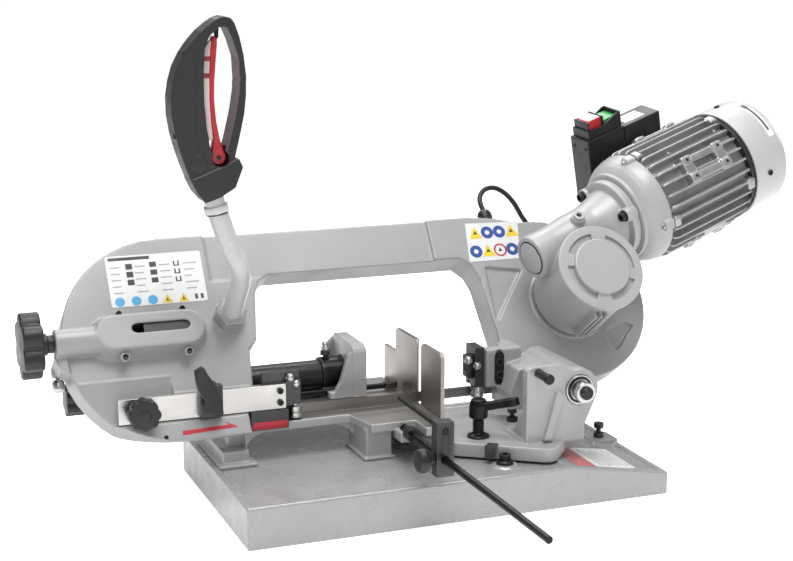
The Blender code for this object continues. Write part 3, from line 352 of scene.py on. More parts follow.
# ---- materials ----
class Shader:
    """Short way to wire a procedural Principled material."""

    def __init__(self, name, color, metallic=0, rough=0.5, coat=0):
        self.mat = bpy.data.materials.new(name)
        self.mat.use_nodes = True
        self.mat.diffuse_color = (*color, 1)
        self.tree = self.mat.node_tree
        self.bsdf = self.tree.nodes["Principled BSDF"].inputs
        for key, value in (("Base Color", (*color, 1)), ("Metallic", metallic), ("Roughness", rough),
                ("Coat Weight", coat), ("Coat Roughness", 0.15), ("Specular IOR Level", 0.5)):
            self.bsdf[key].default_value = value
        self.coords = self.node("TexCoord").outputs["Object"]
        self.height = None

    def node(self, kind, **values):
        n = self.tree.nodes.new("ShaderNode" + kind)
        for k, v in values.items():
            if k in n.inputs:
                n.inputs[k].default_value = v
            else:
                setattr(n, k, v)
        return n

    def link(self, a, b):
        self.tree.links.new(a, b)

    def feed(self, sockets, values):
        """Gives each socket its number, colour or link."""
        for socket, v in zip(sockets, values):
            if isinstance(v, (float, int)):
                socket.default_value = v
            elif isinstance(v, tuple):
                socket.default_value = (*v, 1)
            else:
                self.link(v, socket)

    def stretched(self, scale):
        n = self.node("Mapping", Scale=scale)
        self.link(self.coords, n.inputs["Vector"])
        return n.outputs["Vector"]

    def noise(self, scale, detail=3, rough=0.5, vector=None):
        n = self.node("TexNoise", Scale=scale, Detail=detail, Roughness=rough)
        self.link(vector or self.coords, n.inputs["Vector"])
        return n.outputs["Fac"]

    def cells(self, scale):
        n = self.node("TexVoronoi", Scale=scale)
        self.link(self.coords, n.inputs["Vector"])
        return n.outputs["Distance"]

    def span(self, fac, lo, hi, f0=0.3, f1=0.7):
        n = self.node("MapRange")
        self.feed([n.inputs[k] for k in ("Value", "From Min", "From Max", "To Min", "To Max")],
                (fac, f0, f1, lo, hi))
        return n.outputs["Result"]

    def mix(self, fac, a, b):
        n = self.node("Mix", data_type='RGBA')
        self.feed((n.inputs[0], n.inputs[6], n.inputs[7]), (fac, a, b))
        return n.outputs[2]

    def times(self, a, b):
        n = self.node("Math", operation='MULTIPLY')
        self.feed(n.inputs, (a, b))
        return n.outputs[0]

    def tones(self, fac, dark, light, f0=0.3, f1=0.7):
        """Colour that runs from dark to light with fac."""
        return self.mix(self.span(fac, 0, 1, f0, f1), dark, light)

    def over(self, base, fac, amount, color):
        """color laid on base where fac is high."""
        return self.mix(self.times(fac, amount), base, color)

    def edges(self):
        """0 in hollows, 1 on worn outer edges."""
        return self.span(self.node("NewGeometry").outputs["Pointiness"], 0, 1, 0.50, 0.58)

    def color(self, socket):
        self.link(socket, self.bsdf["Base Color"])

    def gloss(self, fac, lo, hi, f0=0.3, f1=0.7):
        self.link(self.span(fac, lo, hi, f0, f1), self.bsdf["Roughness"])

    def bump(self, socket, strength, distance):
        n = self.node("Bump", Strength=strength, Distance=distance)
        self.link(socket, n.inputs["Height"])
        if self.height is not None:
            self.link(self.height, n.inputs["Normal"])
        self.height = n.outputs["Normal"]
        self.link(self.height, self.bsdf["Normal"])


def grey(v, warm=0):
    return (v * (1 + warm), v, v * (1 - warm))


def scaled(color, k, plus=0):
    return tuple(min(1, c * k + plus) for c in color)


def paint(name, tone, rough, texture, coat=0.15):
    """Sprayed metallic-grey enamel over a casting: orange peel, mottling and thin edges."""
    s = Shader(name, grey(tone), 0.12, rough, coat)
    base = s.tones(s.noise(9, 4, 0.55), grey(tone * 0.95), grey(tone * 1.05))
    base = s.over(base, s.span(s.noise(1400, 1), 0, 1, 0.42, 0.62), 0.18, grey(tone * 1.25))
    s.color(s.over(base, s.edges(), 0.35, grey(tone * 1.3)))
    s.gloss(s.noise(26), rough - 0.07, rough + 0.1)
    s.bump(s.noise(150, 3, 0.6), texture, 0.0012)
    s.bump(s.noise(18, 2), texture * 0.7, 0.004)
    return s.mat


def hammered(name, tone):
    """Thick hammer-finish enamel of the base tray."""
    s = Shader(name, grey(tone), 0.2, 0.3, 0.3)
    base = s.tones(s.noise(7, 4, 0.6), grey(tone * 0.94), grey(tone * 1.06))
    base = s.over(base, s.span(s.cells(170), 0, 1, 0, 0.8), 0.12, grey(tone * 1.2))
    s.color(s.over(base, s.edges(), 0.3, grey(tone * 1.25)))
    s.gloss(s.noise(40), 0.2, 0.38)
    s.bump(s.noise(120, 2, 0.55), 0.3, 0.0016)
    s.bump(s.noise(24, 2), 0.25, 0.005)
    return s.mat


def brushed(name, tone, along, rough, warm, grain=0.14):
    """Ground or brushed steel with fine lines along one direction and faint smears."""
    s = Shader(name, grey(tone, warm), 1, rough)
    lines = s.noise(1, 4, 0.65, s.stretched({'X': (6, 900, 900), 'Z': (900, 900, 6)}[along]))
    smear = s.noise(14, 4, 0.6)
    tint = s.tones(lines, grey(tone * 0.84, warm), grey(tone * 1.08, warm))
    s.color(s.over(tint, s.span(smear, 0, 1, 0.45, 0.75), 0.3, grey(tone * 0.72, warm * 2)))
    s.gloss(s.times(lines, smear), rough - 0.08, rough + 0.16, 0.1, 0.45)
    s.bump(lines, grain, 0.0002)
    return s.mat


def plated(name, tone, rough, warm):
    """Zinc or nickel plate with slight dulling."""
    s = Shader(name, grey(tone, warm), 1, rough)
    dull = s.noise(60, 4, 0.6)
    s.color(s.tones(dull, grey(tone, warm), grey(tone * 0.8, warm + 0.02), 0.35))
    s.gloss(dull, rough - 0.05, rough + 0.15)
    s.bump(s.noise(500, 2), 0.05, 0.0002)
    return s.mat


def oxide(name, tone, rough):
    """Black oxide or black paint on steel, rubbed brighter on the edges."""
    s = Shader(name, grey(tone, 0.02), 0.55, rough)
    wear = s.noise(45, 4, 0.6)
    tint = s.tones(wear, grey(tone * 0.8), grey(tone * 1.5, 0.03), 0.35)
    s.color(s.over(tint, s.edges(), 0.45, grey(0.16, 0.02)))
    s.gloss(wear, rough - 0.1, rough + 0.12)
    s.bump(s.noise(420), 0.12, 0.0003)
    return s.mat


def moulded(name, base, rough, pebble=0.3, coat=0):
    """Moulded plastic with a fine spark-eroded grain."""
    s = Shader(name, base, 0, rough, coat)
    tint = s.tones(s.noise(30), scaled(base, 0.88), scaled(base, 1.12))
    s.color(s.over(tint, s.edges(), 0.4, scaled(base, 1.6, 0.01)))
    s.gloss(s.noise(80), rough - 0.06, rough + 0.08)
    s.bump(s.cells(900), pebble, 0.00025)
    return s.mat


def aluminium(name, tone, rough):
    """Die-cast aluminium, lightly tumbled."""
    s = Shader(name, grey(tone), 0.75, rough)
    tint = s.tones(s.noise(22, 4, 0.6), grey(tone * 0.88), grey(tone * 1.06))
    s.color(s.over(tint, s.edges(), 0.4, grey(min(0.9, tone * 1.4))))
    s.gloss(s.noise(90), rough - 0.08, rough + 0.12)
    s.bump(s.noise(260, 3, 0.6), 0.18, 0.0006)
    return s.mat


def varnished_copper(name):
    """Enamelled winding wire over stacked laminations."""
    s = Shader(name, (0.45, 0.16, 0.06), 0.9, 0.35)
    strands = s.noise(1, 2, 0.5, s.stretched((30, 700, 700)))
    s.color(s.tones(strands, (0.3, 0.09, 0.03), (0.62, 0.27, 0.12)))
    s.gloss(strands, 0.25, 0.5)
    s.bump(strands, 0.5, 0.0006)
    return s.mat


def oiled_bronze(name):
    """Machined bronze, oiled."""
    s = Shader(name, (0.5, 0.3, 0.1), 1, 0.3)
    film = s.noise(35, 4, 0.6)
    s.color(s.tones(film, (0.38, 0.21, 0.06), (0.58, 0.37, 0.14)))
    s.gloss(film, 0.2, 0.42)
    s.bump(s.noise(300, 2), 0.1, 0.0003)
    return s.mat


def printed(name, color, rough=0.4):
    """Vinyl or printed label film."""
    s = Shader(name, color, 0, rough, 0.25)
    s.color(s.tones(s.noise(50), scaled(color, 0.95), scaled(color, 1.03)))
    s.gloss(s.noise(120, 2), rough - 0.05, rough + 0.08)
    s.bump(s.noise(260, 2), 0.05, 0.0002)
    return s.mat


# CAD material slot: the looks that stand for it
LOOKS = {
    "grey_paint": {
        "grey_paint": paint("bow_enamel", 0.36, 0.42, 0.10, 0.1),
        "arm_paint": paint("arm_enamel", 0.42, 0.36, 0.10, 0.2),
        "base_paint": hammered("tray_enamel", 0.37)},
    "light_paint": {
        "light_paint": paint("gearbox_enamel", 0.42, 0.40, 0.08, 0.1),
        "fan_paint": paint("fan_cover_enamel", 0.54, 0.36, 0.05, 0.2),
        "white": printed("label_white", (0.86, 0.86, 0.85)),
        "label_white_soft": printed("label_white_soft", (0.78, 0.79, 0.79))},
    "cast_aluminium": {
        "cast_aluminium": aluminium("motor_aluminium", 0.42, 0.38),
        "wheel_aluminium": aluminium("wheel_aluminium", 0.5, 0.32)},
    "ground_steel": {
        "jaw_steel": brushed("jaw_ground_steel", 0.36, 'Z', 0.36, 0.06, 0.25),
        "table_steel": brushed("table_ground_steel", 0.5, 'X', 0.36, 0.04, 0.2),
        "blade_steel": brushed("blade_steel", 0.26, 'X', 0.36, 0.05, 0.2)},
    "steel": {
        "steel": plated("bright_plate", 0.66, 0.24, 0.02),
        "guide_steel": brushed("guide_bar_steel", 0.62, 'X', 0.3, 0.03),
        "tube_paint": paint("handle_tube_silver", 0.58, 0.3, 0.05, 0.3)},
    "dark_steel": {
        "dark_steel": oxide("black_oxide", 0.018, 0.4),
        "satin_black": oxide("black_enamel", 0.007, 0.34),
        "socket_black": oxide("socket_screw_black", 0.010, 0.3)},
    "black_plastic": {
        "black_plastic": moulded("black_moulding", grey(0.011), 0.4, 0.25),
        # near-black painted shade for bores, sockets, slots and wells, also used for dark seam lines
        "hole_shade_and_seam": moulded("painted_shade_and_seam_black", grey(0.006), 0.7, 0.1),
        "ink": printed("label_ink", (0.05, 0.05, 0.055))},
    "grip_rubber": {
        "grip_rubber": moulded("grip_moulding", grey(0.016), 0.46, 0.45),
        # pale copy of the grip rubber: painted highlight for the grip's left-facing inner wall
        "grip_painted_highlight": moulded("grip_wall_painted_highlight", (0.13, 0.11, 0.105), 0.5)},
    "red_plastic": {
        "red_plastic": moulded("red_moulding", (0.46, 0.012, 0.02), 0.3, 0.05, 0.3),
        "red_dark": moulded("red_collar", (0.22, 0.01, 0.015), 0.3, 0.05, 0.3),
        "red_pale": moulded("trigger_pale_face", (0.62, 0.50, 0.48), 0.3, 0.05, 0.3),
        "cap_clear": moulded("button_cap_pale", (0.72, 0.66, 0.66), 0.25, 0.03, 0.5),
        "red": printed("label_red", (0.55, 0.02, 0.04)),
        "pink": printed("label_red_faded", (0.62, 0.16, 0.16))},
    "green_plastic": {"green_plastic": moulded("green_moulding", (0.02, 0.24, 0.05), 0.3, 0.05, 0.3)},
    "grey_plastic": {
        "grey_plastic": moulded("grey_moulding", grey(0.10), 0.5, 0.2),
        "label_grey": printed("grey_label", (0.5, 0.5, 0.48)),
        "ink_grey": printed("label_ink_grey", (0.38, 0.38, 0.39)),
        "blue": printed("label_blue", (0.10, 0.42, 0.75)),
        "navy": printed("label_navy", (0.03, 0.08, 0.35)),
        "yellow": printed("label_yellow", (0.85, 0.62, 0.03))},
    "cable": {"cable": moulded("cable_sheath", grey(0.012), 0.5, 0.2)},
    "copper": {"copper": varnished_copper("winding")},
    "bronze": {"bronze": oiled_bronze("worm_wheel_bronze")},
}
MAT = {look: mat for looks in LOOKS.values() for look, mat in looks.items()}


def piece(name, ob, look, body="bow", node=None):
    """Names a finished piece (or several shapes that make it) and hangs it on its body."""
    if isinstance(ob, list):
        ob = join(ob)
    ob.name = ob.data.name = name
    ob.data.materials.clear()
    ob.data.materials.append(MAT[look])
    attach(ob, body)
    if node:
        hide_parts(node)
    return ob


def stand_in(node, kind, ob, look):
    """Piece that takes a CAD node's place, on the node's own body."""
    return piece(f"{node}_{kind}", ob, look, BODY_OF[node], node)


def machined(node, look, width, angle=SHARP):
    """Bevelled copy of a CAD node that stands for it."""
    stand_in(node, "fine", crisp(copy_of(node), width, angle), look)


def plain(node, look):
    """CAD node kept as it is, with its finished material."""
    me = frame["nodes"][node].data
    me.materials.clear()
    me.materials.append(MAT[look])


# ---- castings ----
def casting(node, look, voxel, smooth, keep=0.25, tools=()):
    ob = cast(carve(copy_of(node), tools), voxel, smooth, keep)
    return stand_in(node, "cast", ob, look)


def give_faces_look(ob, look, chosen):
    """Gives the faces that chosen(centre_mm, normal) picks a second look: machined finishes, black paint,
    and on the grip a painted highlight on the wall that faces the light.
    """
    ob.data.materials.append(MAT[look])
    slot = len(ob.data.materials) - 1
    inverse = ORIGIN.inverted()
    for p in ob.data.polygons:
        if chosen(inverse @ p.center, p.normal):
            p.material_index = slot


casting("base_tray", "base_paint", 1.3, 4, 0.25, [box(3, 60, 9, 272.6, -3.5, 8, SLOPE, 0)])
bed = casting("vise_bed", "arm_paint", 1, 7)
give_faces_look(bed, "table_steel", lambda c, n: c.z > 87.2 and n.z > 0.8 and c.x > -197)
jaw = casting("movable_jaw", "arm_paint", 0.9, 7)
give_faces_look(jaw, "jaw_steel", lambda c, n: n.x > 0.9 and c.x > -41)
give_faces_look(jaw, "satin_black", lambda c, n: c.x < -57.5 and c.z > 97.5
        and hypot(c.y - RAM_Y, c.z - RAM_Z) < 22.4)
casting("swivel_arm", "arm_paint", 1, 7)
scoop = [(262.5, 50), (264.5, 31.5), (270, 25), (279, 31), (290, 43.5), (302, 54), (292, 59.5), (275, 56.5)]
casting("bow_frame", "grey_paint", 1.2, 8, 0.22, [prism(scoop, FACE_T - 5.4, FACE_T + 5, BOW, 0)])
grip = casting("handle_grip", "grip_rubber", 0.8, 10, 0.3)
# the grip's left-facing inner wall gets the pale copy of the rubber: painted highlight where light falls on
# that side
give_faces_look(grip, "grip_painted_highlight", lambda c, n: n.x < -0.35 and -236 < c.x < -206 and c.z > 400)

DRUM_R = 43  # inside of the worm wheel's drum
FLANGE_SCREWS = (-12, 107.5, 227.5)
LUGS = (50, 135, 230, 315)  # tie-rod lugs round the motor
FEET = (3, 93, 183)  # the motor's three unused mounting feet
SEATS = [(x, a) for x in (168, 219.5) for a in FEET]
FIN_COUNT = 30
SLOT_COUNT = 10  # air slots in the fan cowl
MOTOR_AXIS = along_x(MOTOR)

# Worm housing: wheel drum, bearing bore drum, motor flange and their ribs as one casting.
shapes = [
    lathe([(DRUM_R, 75), (DRUM_R, 119.5), (50, 119.5), (50, 34), (46, 34), (46, 26.9), (DRUM_R, 26.9)],
          GEAR, 96),
    lathe([(20.5, -49.8), (25.6, -49.8), (26.8, -48), (27, -20), (28, -6), (30, 10), (31, 40),
           (36, 62), (40, 74), (20.5, 74)], MOTOR_AXIS, 80),
    ring(14, 50, 73, 84, MOTOR_AXIS, 96, 0.8),
    box(-20, 30, -33, -10, 50, 78, GEAR),
    cyl(8.6, 22, 35.4, along_y(on_motor(70), 17), 40),
]
shapes += [box(x - 1.5, x + 1.5, -58, -44, 50, 112, GEAR) for x in (-16, -9, -2)]
shapes += [cyl(9, 68, 84, at(along_x(on_motor(a)), 0, 43.5, 0), 32) for a in FLANGE_SCREWS]
shapes.append(cyl(DRUM_R + 1, 33, 75, GEAR, 64))
clear = [cyl(10.4, 20, 80, GEAR, 48, 0), cyl(42.6, 60, 119, GEAR, 64, 0),
        cyl(20.2, -44, 66, MOTOR_AXIS, 48, 0)]
ob = carve(cast(join(shapes), 1, 7, 0.3), clear)
shade(ob.data, 50)
stand_in("gearbox_housing", "cast", ob, "light_paint")

# Cover of the worm wheel: raised disc in the middle and four shallow curved pockets.
lid = lathe([(0, 119.8), (53, 119.8), (54, 120.8), (54, 125), (53, 126), (35.5, 126), (35, 129.3),
        (33.6, 130.5), (0, 130.5)], GEAR, 128, 0.7)
carve(lid, [prism(arc(0, 0, 43.5, a0, a1, 24) + arc(0, 0, 35.2, a1, a0, 24), 122.6, 128.5, GEAR, 0)
        for a0, a1 in ((93, 150), (-7, 68), (-86, -26), (173, 248))])
shade(lid.data, 35)
piece("gearbox_lid", lid, "light_paint", node="gearbox_cover")

# end bell with the tie-rod lugs
shapes = [
    lathe([(8.6, 84.3), (52, 84.3), (54, 87), (58.5, 91), (62.5, 95.5), (66, 101.5), (68, 108),
           (68.8, 113), (69, 117.9), (60, 117.9), (58, 108), (50, 99), (42, 94), (8.6, 94)],
          MOTOR_AXIS, 128, 0.5),
    ring(30, 55.6, 84.4, 87.4, MOTOR_AXIS, 128, 0.6)]
shapes += [box(104, 117.8, 58, 73, -7, 7, on_motor(a), 2.2) for a in LUGS]
stand_in("motor_end_bell", "cast", cast(join(shapes), 0.9, 5, 0.3), "light_paint")

# Die-cast finned barrel with tie-rod lugs, mounting seats and the switch pad.
shapes = [ring(54.3, 61, 118.4, 255.8, MOTOR_AXIS, 128, 0.5)]
side = [(119.5, 60), (119.5, 66), (121, 69.5), (124.5, 71.4), (129, 71.9), (246, 71.9), (250.5, 71.4),
        (253, 69.5), (254.5, 66), (254.5, 60)]
for k in range(FIN_COUNT):
    turn = Matrix.Rotation(2 * pi * k / FIN_COUNT, 4, 'X')
    shapes.append(prism(side, -1.45, 1.45, MOTOR @ turn, 0.5, 1))
for a in LUGS:
    shapes += [box(x0, x1, 58, 73, -7, 7, on_motor(a), 2) for x0, x1 in ((118.5, 129), (244, 255.7))]
for x, a in SEATS:
    m = on_motor(a)
    shapes += [box(x - 8, x + 8, 56, 74.4, z, z + 12, m, 2.2) for z in (5.5, -17.5)]
    shapes.append(box(x - 8, x + 8, 56, 72.4, -6, 6, m, 1))
for a in FEET:
    shapes += [box(174, 214, 56, 71.6, z, z + 9.5, on_motor(a), 1.5) for z in (6.5, -16)]
shapes.append(box(142, 202, -22, 30, -73.2, -54.5, SWITCH, 1.5))
stand_in("motor_body", "cast", cast(join(shapes), 0.95, 2, 0.25), "cast_aluminium")

# fan cowl with its air slots
cowl = lathe([(68.2, 262.2), (70.4, 262.2), (70.5, 306), (69.8, 311.5), (67, 317), (61, 321.5),
        (50, 324.4), (0, 325), (0, 323), (49, 322.4), (59.5, 319.6), (65, 315.6), (67.6, 311),
        (68.2, 306)], MOTOR_AXIS, 144, 0.4)
carve(cowl, [prism(stadium(28, 0, 16, 1.8, 6), 315, 331,
              MOTOR_AXIS @ Matrix.Rotation(2 * pi * k / SLOT_COUNT, 4, 'Z'), 0)
        for k in range(SLOT_COUNT)])
shade(cowl.data, 35)
piece("fan_cowl", cowl, "fan_paint", node="fan_cover")


# ---- hardware on the motor ----
def cap_screw(m, r, h):
    """Socket-head screw standing on the local floor of m."""
    return lathe([(0, 0), (r, 0), (r, h), (0.55 * r, h), (0.55 * r, 0.45 * h), (0, 0.45 * h)], m, 40, 0.35)


def socket_screws(name, places, r, h, look="socket_black", body="bow", washer=0):
    shapes = []
    for m in places:
        shapes += [cap_screw(m, r, h)] + ([cyl(washer, 0, 0.9, m, 40, 0.2)] if washer else [])
    piece(name, shapes, look, body)


def acorn_nut(m, r=5.2, h=9):
    dome = [(0, h), (r * 0.35, h * 0.98), (r * 0.66, h * 0.86), (r * 0.82, h * 0.66), (r * 0.84, h * 0.42),
            (r * 0.8, 0.3), (0, 0.3)]
    return join([lathe(dome, m, 40, 0.2), prism(ngon(r, 6), 0, h * 0.45, m, 0.4)])


def curved_patch(r, x0, x1, a0, a1, lift=0.25, seg=24):
    """Thin film wrapped on a cylinder of radius r round the motor's axis, between two angles."""
    bm = bmesh.new()
    rows = []
    for k in range(seg + 1):
        a = radians(a0 + (a1 - a0) * k / seg)
        c, s = cos(a), sin(a)
        rows.append([bm.verts.new((x, rr * c, rr * s)) for x, rr in
                ((x0, r - 0.3), (x0, r + lift), (x1, r + lift), (x1, r - 0.3))])
    skin(bm, rows)
    bm.faces.new(rows[0])
    bm.faces.new(rows[-1][::-1])
    return to_object(bm, MOTOR, 40)


# screws, pins and films on the motor
top = [along_y(on_motor(a), x, 70.3, 0) for x, a in ((286, 30), (284, 133.5), (285, 260))]
socket_screws("fan_cowl_screws", top, 3.6, 2.2)
socket_screws("flange_screws", [facing_bell(on_motor(a), 68.2, 43.5) for a in FLANGE_SCREWS], 5.6, 6,
        washer=7)
socket_screws("tie_rod_heads", [facing_bell(on_motor(a), 104.2, 67) for a in LUGS], 3.6, 3, "steel")
bolts = [along_y(on_motor(a), x, 74.2, z) for x, a in SEATS for z in (11.5, -11.5)]
piece("foot_bolt_rims", [ring(2.2, 4.2, 0, 0.7, m, 32, 0.2) for m in bolts], "cast_aluminium")
# dark discs inside the rims: painted shade standing for the bolt bores
piece("foot_bolt_hole_shade", [cyl(2.3, 0, 0.45, m, 24, 0) for m in bolts], "hole_shade_and_seam")
pins = [along_y(on_motor(67.5), x, 70.5, 0) for x in (156, 234)]
socket_screws("terminal_pins", pins, 1.8, 2.4, "steel")
piece("fan_strip", curved_patch(70.5, 299.5, 308.5, 44, 99), "white")
piece("fan_strip_arrow", [curved_patch(70.76, 302.6, 305.4, 58, 92, 0.15),
        curved_patch(70.76, 300.8, 307.2, 50, 58, 0.15, 6)], "ink")
m = along_y(on_motor(70), 17)
plug = [cyl(8, 35.2, 36, m, 48, 0.2),
        lathe([(0, 35.5), (6.6, 35.5), (6.6, 40), (3.4, 40), (3.4, 37.4), (0, 37.4)], m, 48, 0.4)]
piece("oil_plug", plug, "light_paint")
# dark hexagon: painted shade standing for the plug's hex socket
piece("oil_plug_socket_shade", prism(ngon(3.2, 6), 37.3, 37.6, m, 0), "hole_shade_and_seam")
cap = [(0, -50.9), (18.6, -50.9), (19.6, -50.2), (19.6, -49.2), (0, -49.2)]
piece("worm_bore_cap", lathe(cap, MOTOR_AXIS), "light_paint")
piece("worm_bore_ring", ring(19.7, 20.4, -50.2, -49.5, MOTOR_AXIS, 64, 0.1), "satin_black")


# ---- machined and moulded parts ----
# look: {CAD node: width of its edge round}
MACHINED = {
    "black_plastic": {"switch_box": 1.6, "switch_head": 0.9, "capacitor_box": 1.2},
    "red_plastic": {"stop_button": 1.4},
    "green_plastic": {"start_button": 1.4},
    "grey_paint": {"rear_cover": 0.4},
    "guide_steel": {"guide_arm": 0.5},
    "jaw_steel": {"fixed_jaw_rear": 0.35, "fixed_jaw_front": 0.35},
    "wheel_aluminium": {"drive_wheel": 0.5, "idler_wheel": 0.5},
    "satin_black": {"left_guide_block": 0.5, "right_guide_block": 0.5, "guide_clamp_block": 0.8,
                    "blade_guard": 0.25, "motor_end_shield": 0.5, "vise_guide_rod": 0.4, "stop_block": 1,
                    "mitre_pointer": 0.5},
}
for name, widths in MACHINED.items():
    for part, edge in widths.items():
        machined(part, name, edge)
machined("cover_screw", "steel", 0.4, 40)
for part, name in (("worm_wheel", "bronze"), ("worm_shaft", "steel"), ("motor_fan", "black_plastic"),
        ("motor_stator", "copper"), ("idler_slide", "dark_steel")):
    plain(part, name)


# switch box and capacitor box
piece("switch_lid_line", box(116.6, 175.4, 64.6, 65.4, -108.35, -73.4, SWITCH, 0.1), "hole_shade_and_seam")
rims = ((121, 123, 81, 92.2), (144.9, 147.1, 81.5, 93.5), (170, 172, 81, 92.2))
piece("switch_guard_rim", [box(*rim, -103.5, -77, SWITCH) for rim in rims], "black_plastic")
piece("stop_button_face", box(124.6, 143, 92.6, 93.7, -100.4, -80.1, SWITCH), "cap_clear", "stop_button")
piece("capacitor_film", box(180, 235.5, 17, 65.5, -108.35, -107.9, SWITCH, 0.2), "label_grey")
piece("capacitor_lid", box(178.5, 236.5, 67.6, 68.2, -106.5, -75, SWITCH, 0.2), "grey_plastic")
piece("capacitor_film_top", box(186, 219, 68.1, 68.4, -101, -81, SWITCH, 0.1), "label_white_soft")
bars = [box(189 + 6 * k, 192.5 + 6 * k, 68.35, 68.5, -98 + 2 * (k % 2), -84 - 3 * (k % 3), SWITCH, 0)
        for k in range(5)]
piece("capacitor_film_bars", bars, "ink_grey")
socket_screws("switch_box_screws", [along_x(SWITCH, 115.4, s, z) @ Matrix.Rotation(pi, 4, 'X')
        for s in (-18, 58) for z in (-101, -80)], 2.2, 0.8)


# ---- bow front: labels, screws and knobs ----
FILM = 0.12  # thickness of a printed mark


def film(poly, t, thick=FILM):
    return prism(poly, t, t + thick, BOW, 0)


def name_plate():
    """Blank rating plate: neutral blocks, bars, discs and triangles, no lettering."""
    x0, x1, s0, s1 = -339, -228, 133.5, 196.5
    top = FACE_T + 0.52
    w, h = x1 - x0, s1 - s0
    corners = [(x0 + 2, s0), (x1 - 2, s0), (x1, s0 + 2), (x1, s1 - 2), (x1 - 2, s1), (x0 + 2, s1),
            (x0, s1 - 2), (x0, s0 + 2)]
    piece("rating_plate", prism(corners, FACE_T + 0.02, top, BOW, 0.15, 1), "white")

    def block(a, b, c, d):
        return box(x0 + a * w, x0 + b * w, s0 + c * h, s0 + d * h, top, top + FILM, BOW, 0)

    dark = [block(0.03, 0.46, 0.905, 0.965)]
    for k in range(3):
        c = 0.72 - 0.155 * k
        dark += [block(0.20, 0.27, c, c + 0.11), block(0.45, 0.52, c + 0.02, c + 0.12)]
        dark += [block(a, b, c + 0.01, c + d) for a, b, d in ((0.70, 0.76, 0.03), (0.70, 0.715, 0.11),
                (0.745, 0.76, 0.11))]
    piece("rating_plate_blocks", dark, "ink")
    fine = []
    for k in range(5):
        c = 0.76 - 0.125 * k
        spans = ((0.04, 0.14 - 0.01 * (k % 2)), (0.29, 0.40 - 0.02 * (k % 2)), (0.55, 0.66),
                 (0.80, 0.94 - 0.03 * (k % 3)))
        fine += [block(a, b, c, c + 0.022) for a, b in spans]
    piece("rating_plate_bars", fine, "ink_grey")
    piece("rating_plate_discs", [cyl(5.6, top, top + FILM, at(BOW, x0 + a * w, s0 + 0.10 * h, 0), 32, 0)
            for a in (0.09, 0.26, 0.43)], "blue")
    marks = [block(0.87, 0.90, 0.05, 0.15), block(0.93, 0.96, 0.05, 0.15)]
    signs = []
    for a in (0.58, 0.75):
        x, s = x0 + a * w, s0 + 0.09 * h
        signs.append(film([(x - 6, s - 4.5), (x + 6, s - 4.5), (x, s + 6)], top))
        low = s0 + 0.055 * h
        marks.append(film([(x - 1.6, low), (x + 1.6, low), (x, s0 + 0.13 * h)], top + FILM, 0.1))
    piece("rating_plate_triangles", signs, "yellow")
    piece("rating_plate_marks", marks, "ink")


def pictogram_label():
    """Right-hand label: two rows of plain coloured shapes on white."""
    low = FACE_T + 0.05
    up = low + 0.3
    piece("picture_label", film([(104, 155.5), (172, 155.5), (181, 205), (110, 207)], low, 0.3),
          "label_white_soft")

    def spot(k, row):
        return 116 + 16.2 * k + 4.2 * row, 168.5 + 24.5 * row

    rounds, corners, hoop = ((0, 0), (3, 0), (1, 1), (2, 1)), ((1, 0), (0, 1), (3, 1)), (2, 0)
    piece("picture_label_discs", [cyl(8.2, up, up + FILM, at(BOW, *spot(*p), 0), 40, 0)
                                  for p in rounds], "navy")
    signs = [film([(x - 8.8, s - 7.4), (x + 8.8, s - 7.4), (x, s + 8.8)], up)
            for x, s in (spot(*p) for p in corners)]
    piece("picture_label_triangles", signs, "yellow")
    piece("picture_label_ring", ring(6.4, 8.6, up, up + FILM, at(BOW, *spot(*hoop), 0), 40, 0), "red")
    piece("picture_label_marks", [cyl(3, up + FILM, up + 0.2, at(BOW, *spot(*p), 0), 20, 0)
            for p in rounds], "white")
    piece("picture_label_dots", [prism(ngon(3.2, 3, pi / 2), up + FILM, up + 0.2, at(BOW, *spot(*p), 0), 0)
            for p in (*corners, hoop)], "ink")


# Red running-direction arrow on the lower lip of the left housing, as plain film.
pts = [(-283, -23.5), (-251, -22), (-236, -21.5), (-220, -20.5), (-233, -13.5), (-230, -17), (-283, -18.5)]
piece("running_arrow", film(pts, FACE_T + 0.05, 0.25), "red")

# tension screw
corners = [(-336, 119.5), (-264, 119.5), (-336, 68), (-264, 68)]
lands = [cyl(5, 38, 42.2, at(BOW, x, s, 0), 32, 0.6) for x, s in corners]
piece("tension_screw_lands", lands, "grey_paint")
socket_screws("tension_cover_screws", [at(BOW, x, s, 42) for x, s in corners], 3.4, 2)
socket_screws("lower_lip_screw", [at(BOW, -302, -24, FACE_T - 0.1)], 2.4, 1.6)
axis = along_x(BOW, 0, WHEEL_C, 32)
threads = [lathe([(4.8, x), (5.9, x + 0.45), (5.9, x + 0.8), (4.8, x + 1.3)], axis, 40, 0.1)
        for x in (-423 + 1.6 * k for k in range(7))]
piece("tension_threads", threads, "satin_black", "tension_knob")
knob = [prism(lobed(28.4, 36.9, 6), -446.8, -424.2, axis, 3, 3),
        lathe([(0, -447), (14, -446.9), (17, -446.2), (17, -440), (0, -440)], axis),
        lathe([(0, -426), (12, -426), (12, -418), (10, -417), (10, -410.7), (5, -410.7), (5, -268),
               (0, -268)], axis, 48, 0.5)]
stand_in("tension_knob", "moulded", knob, "black_plastic")

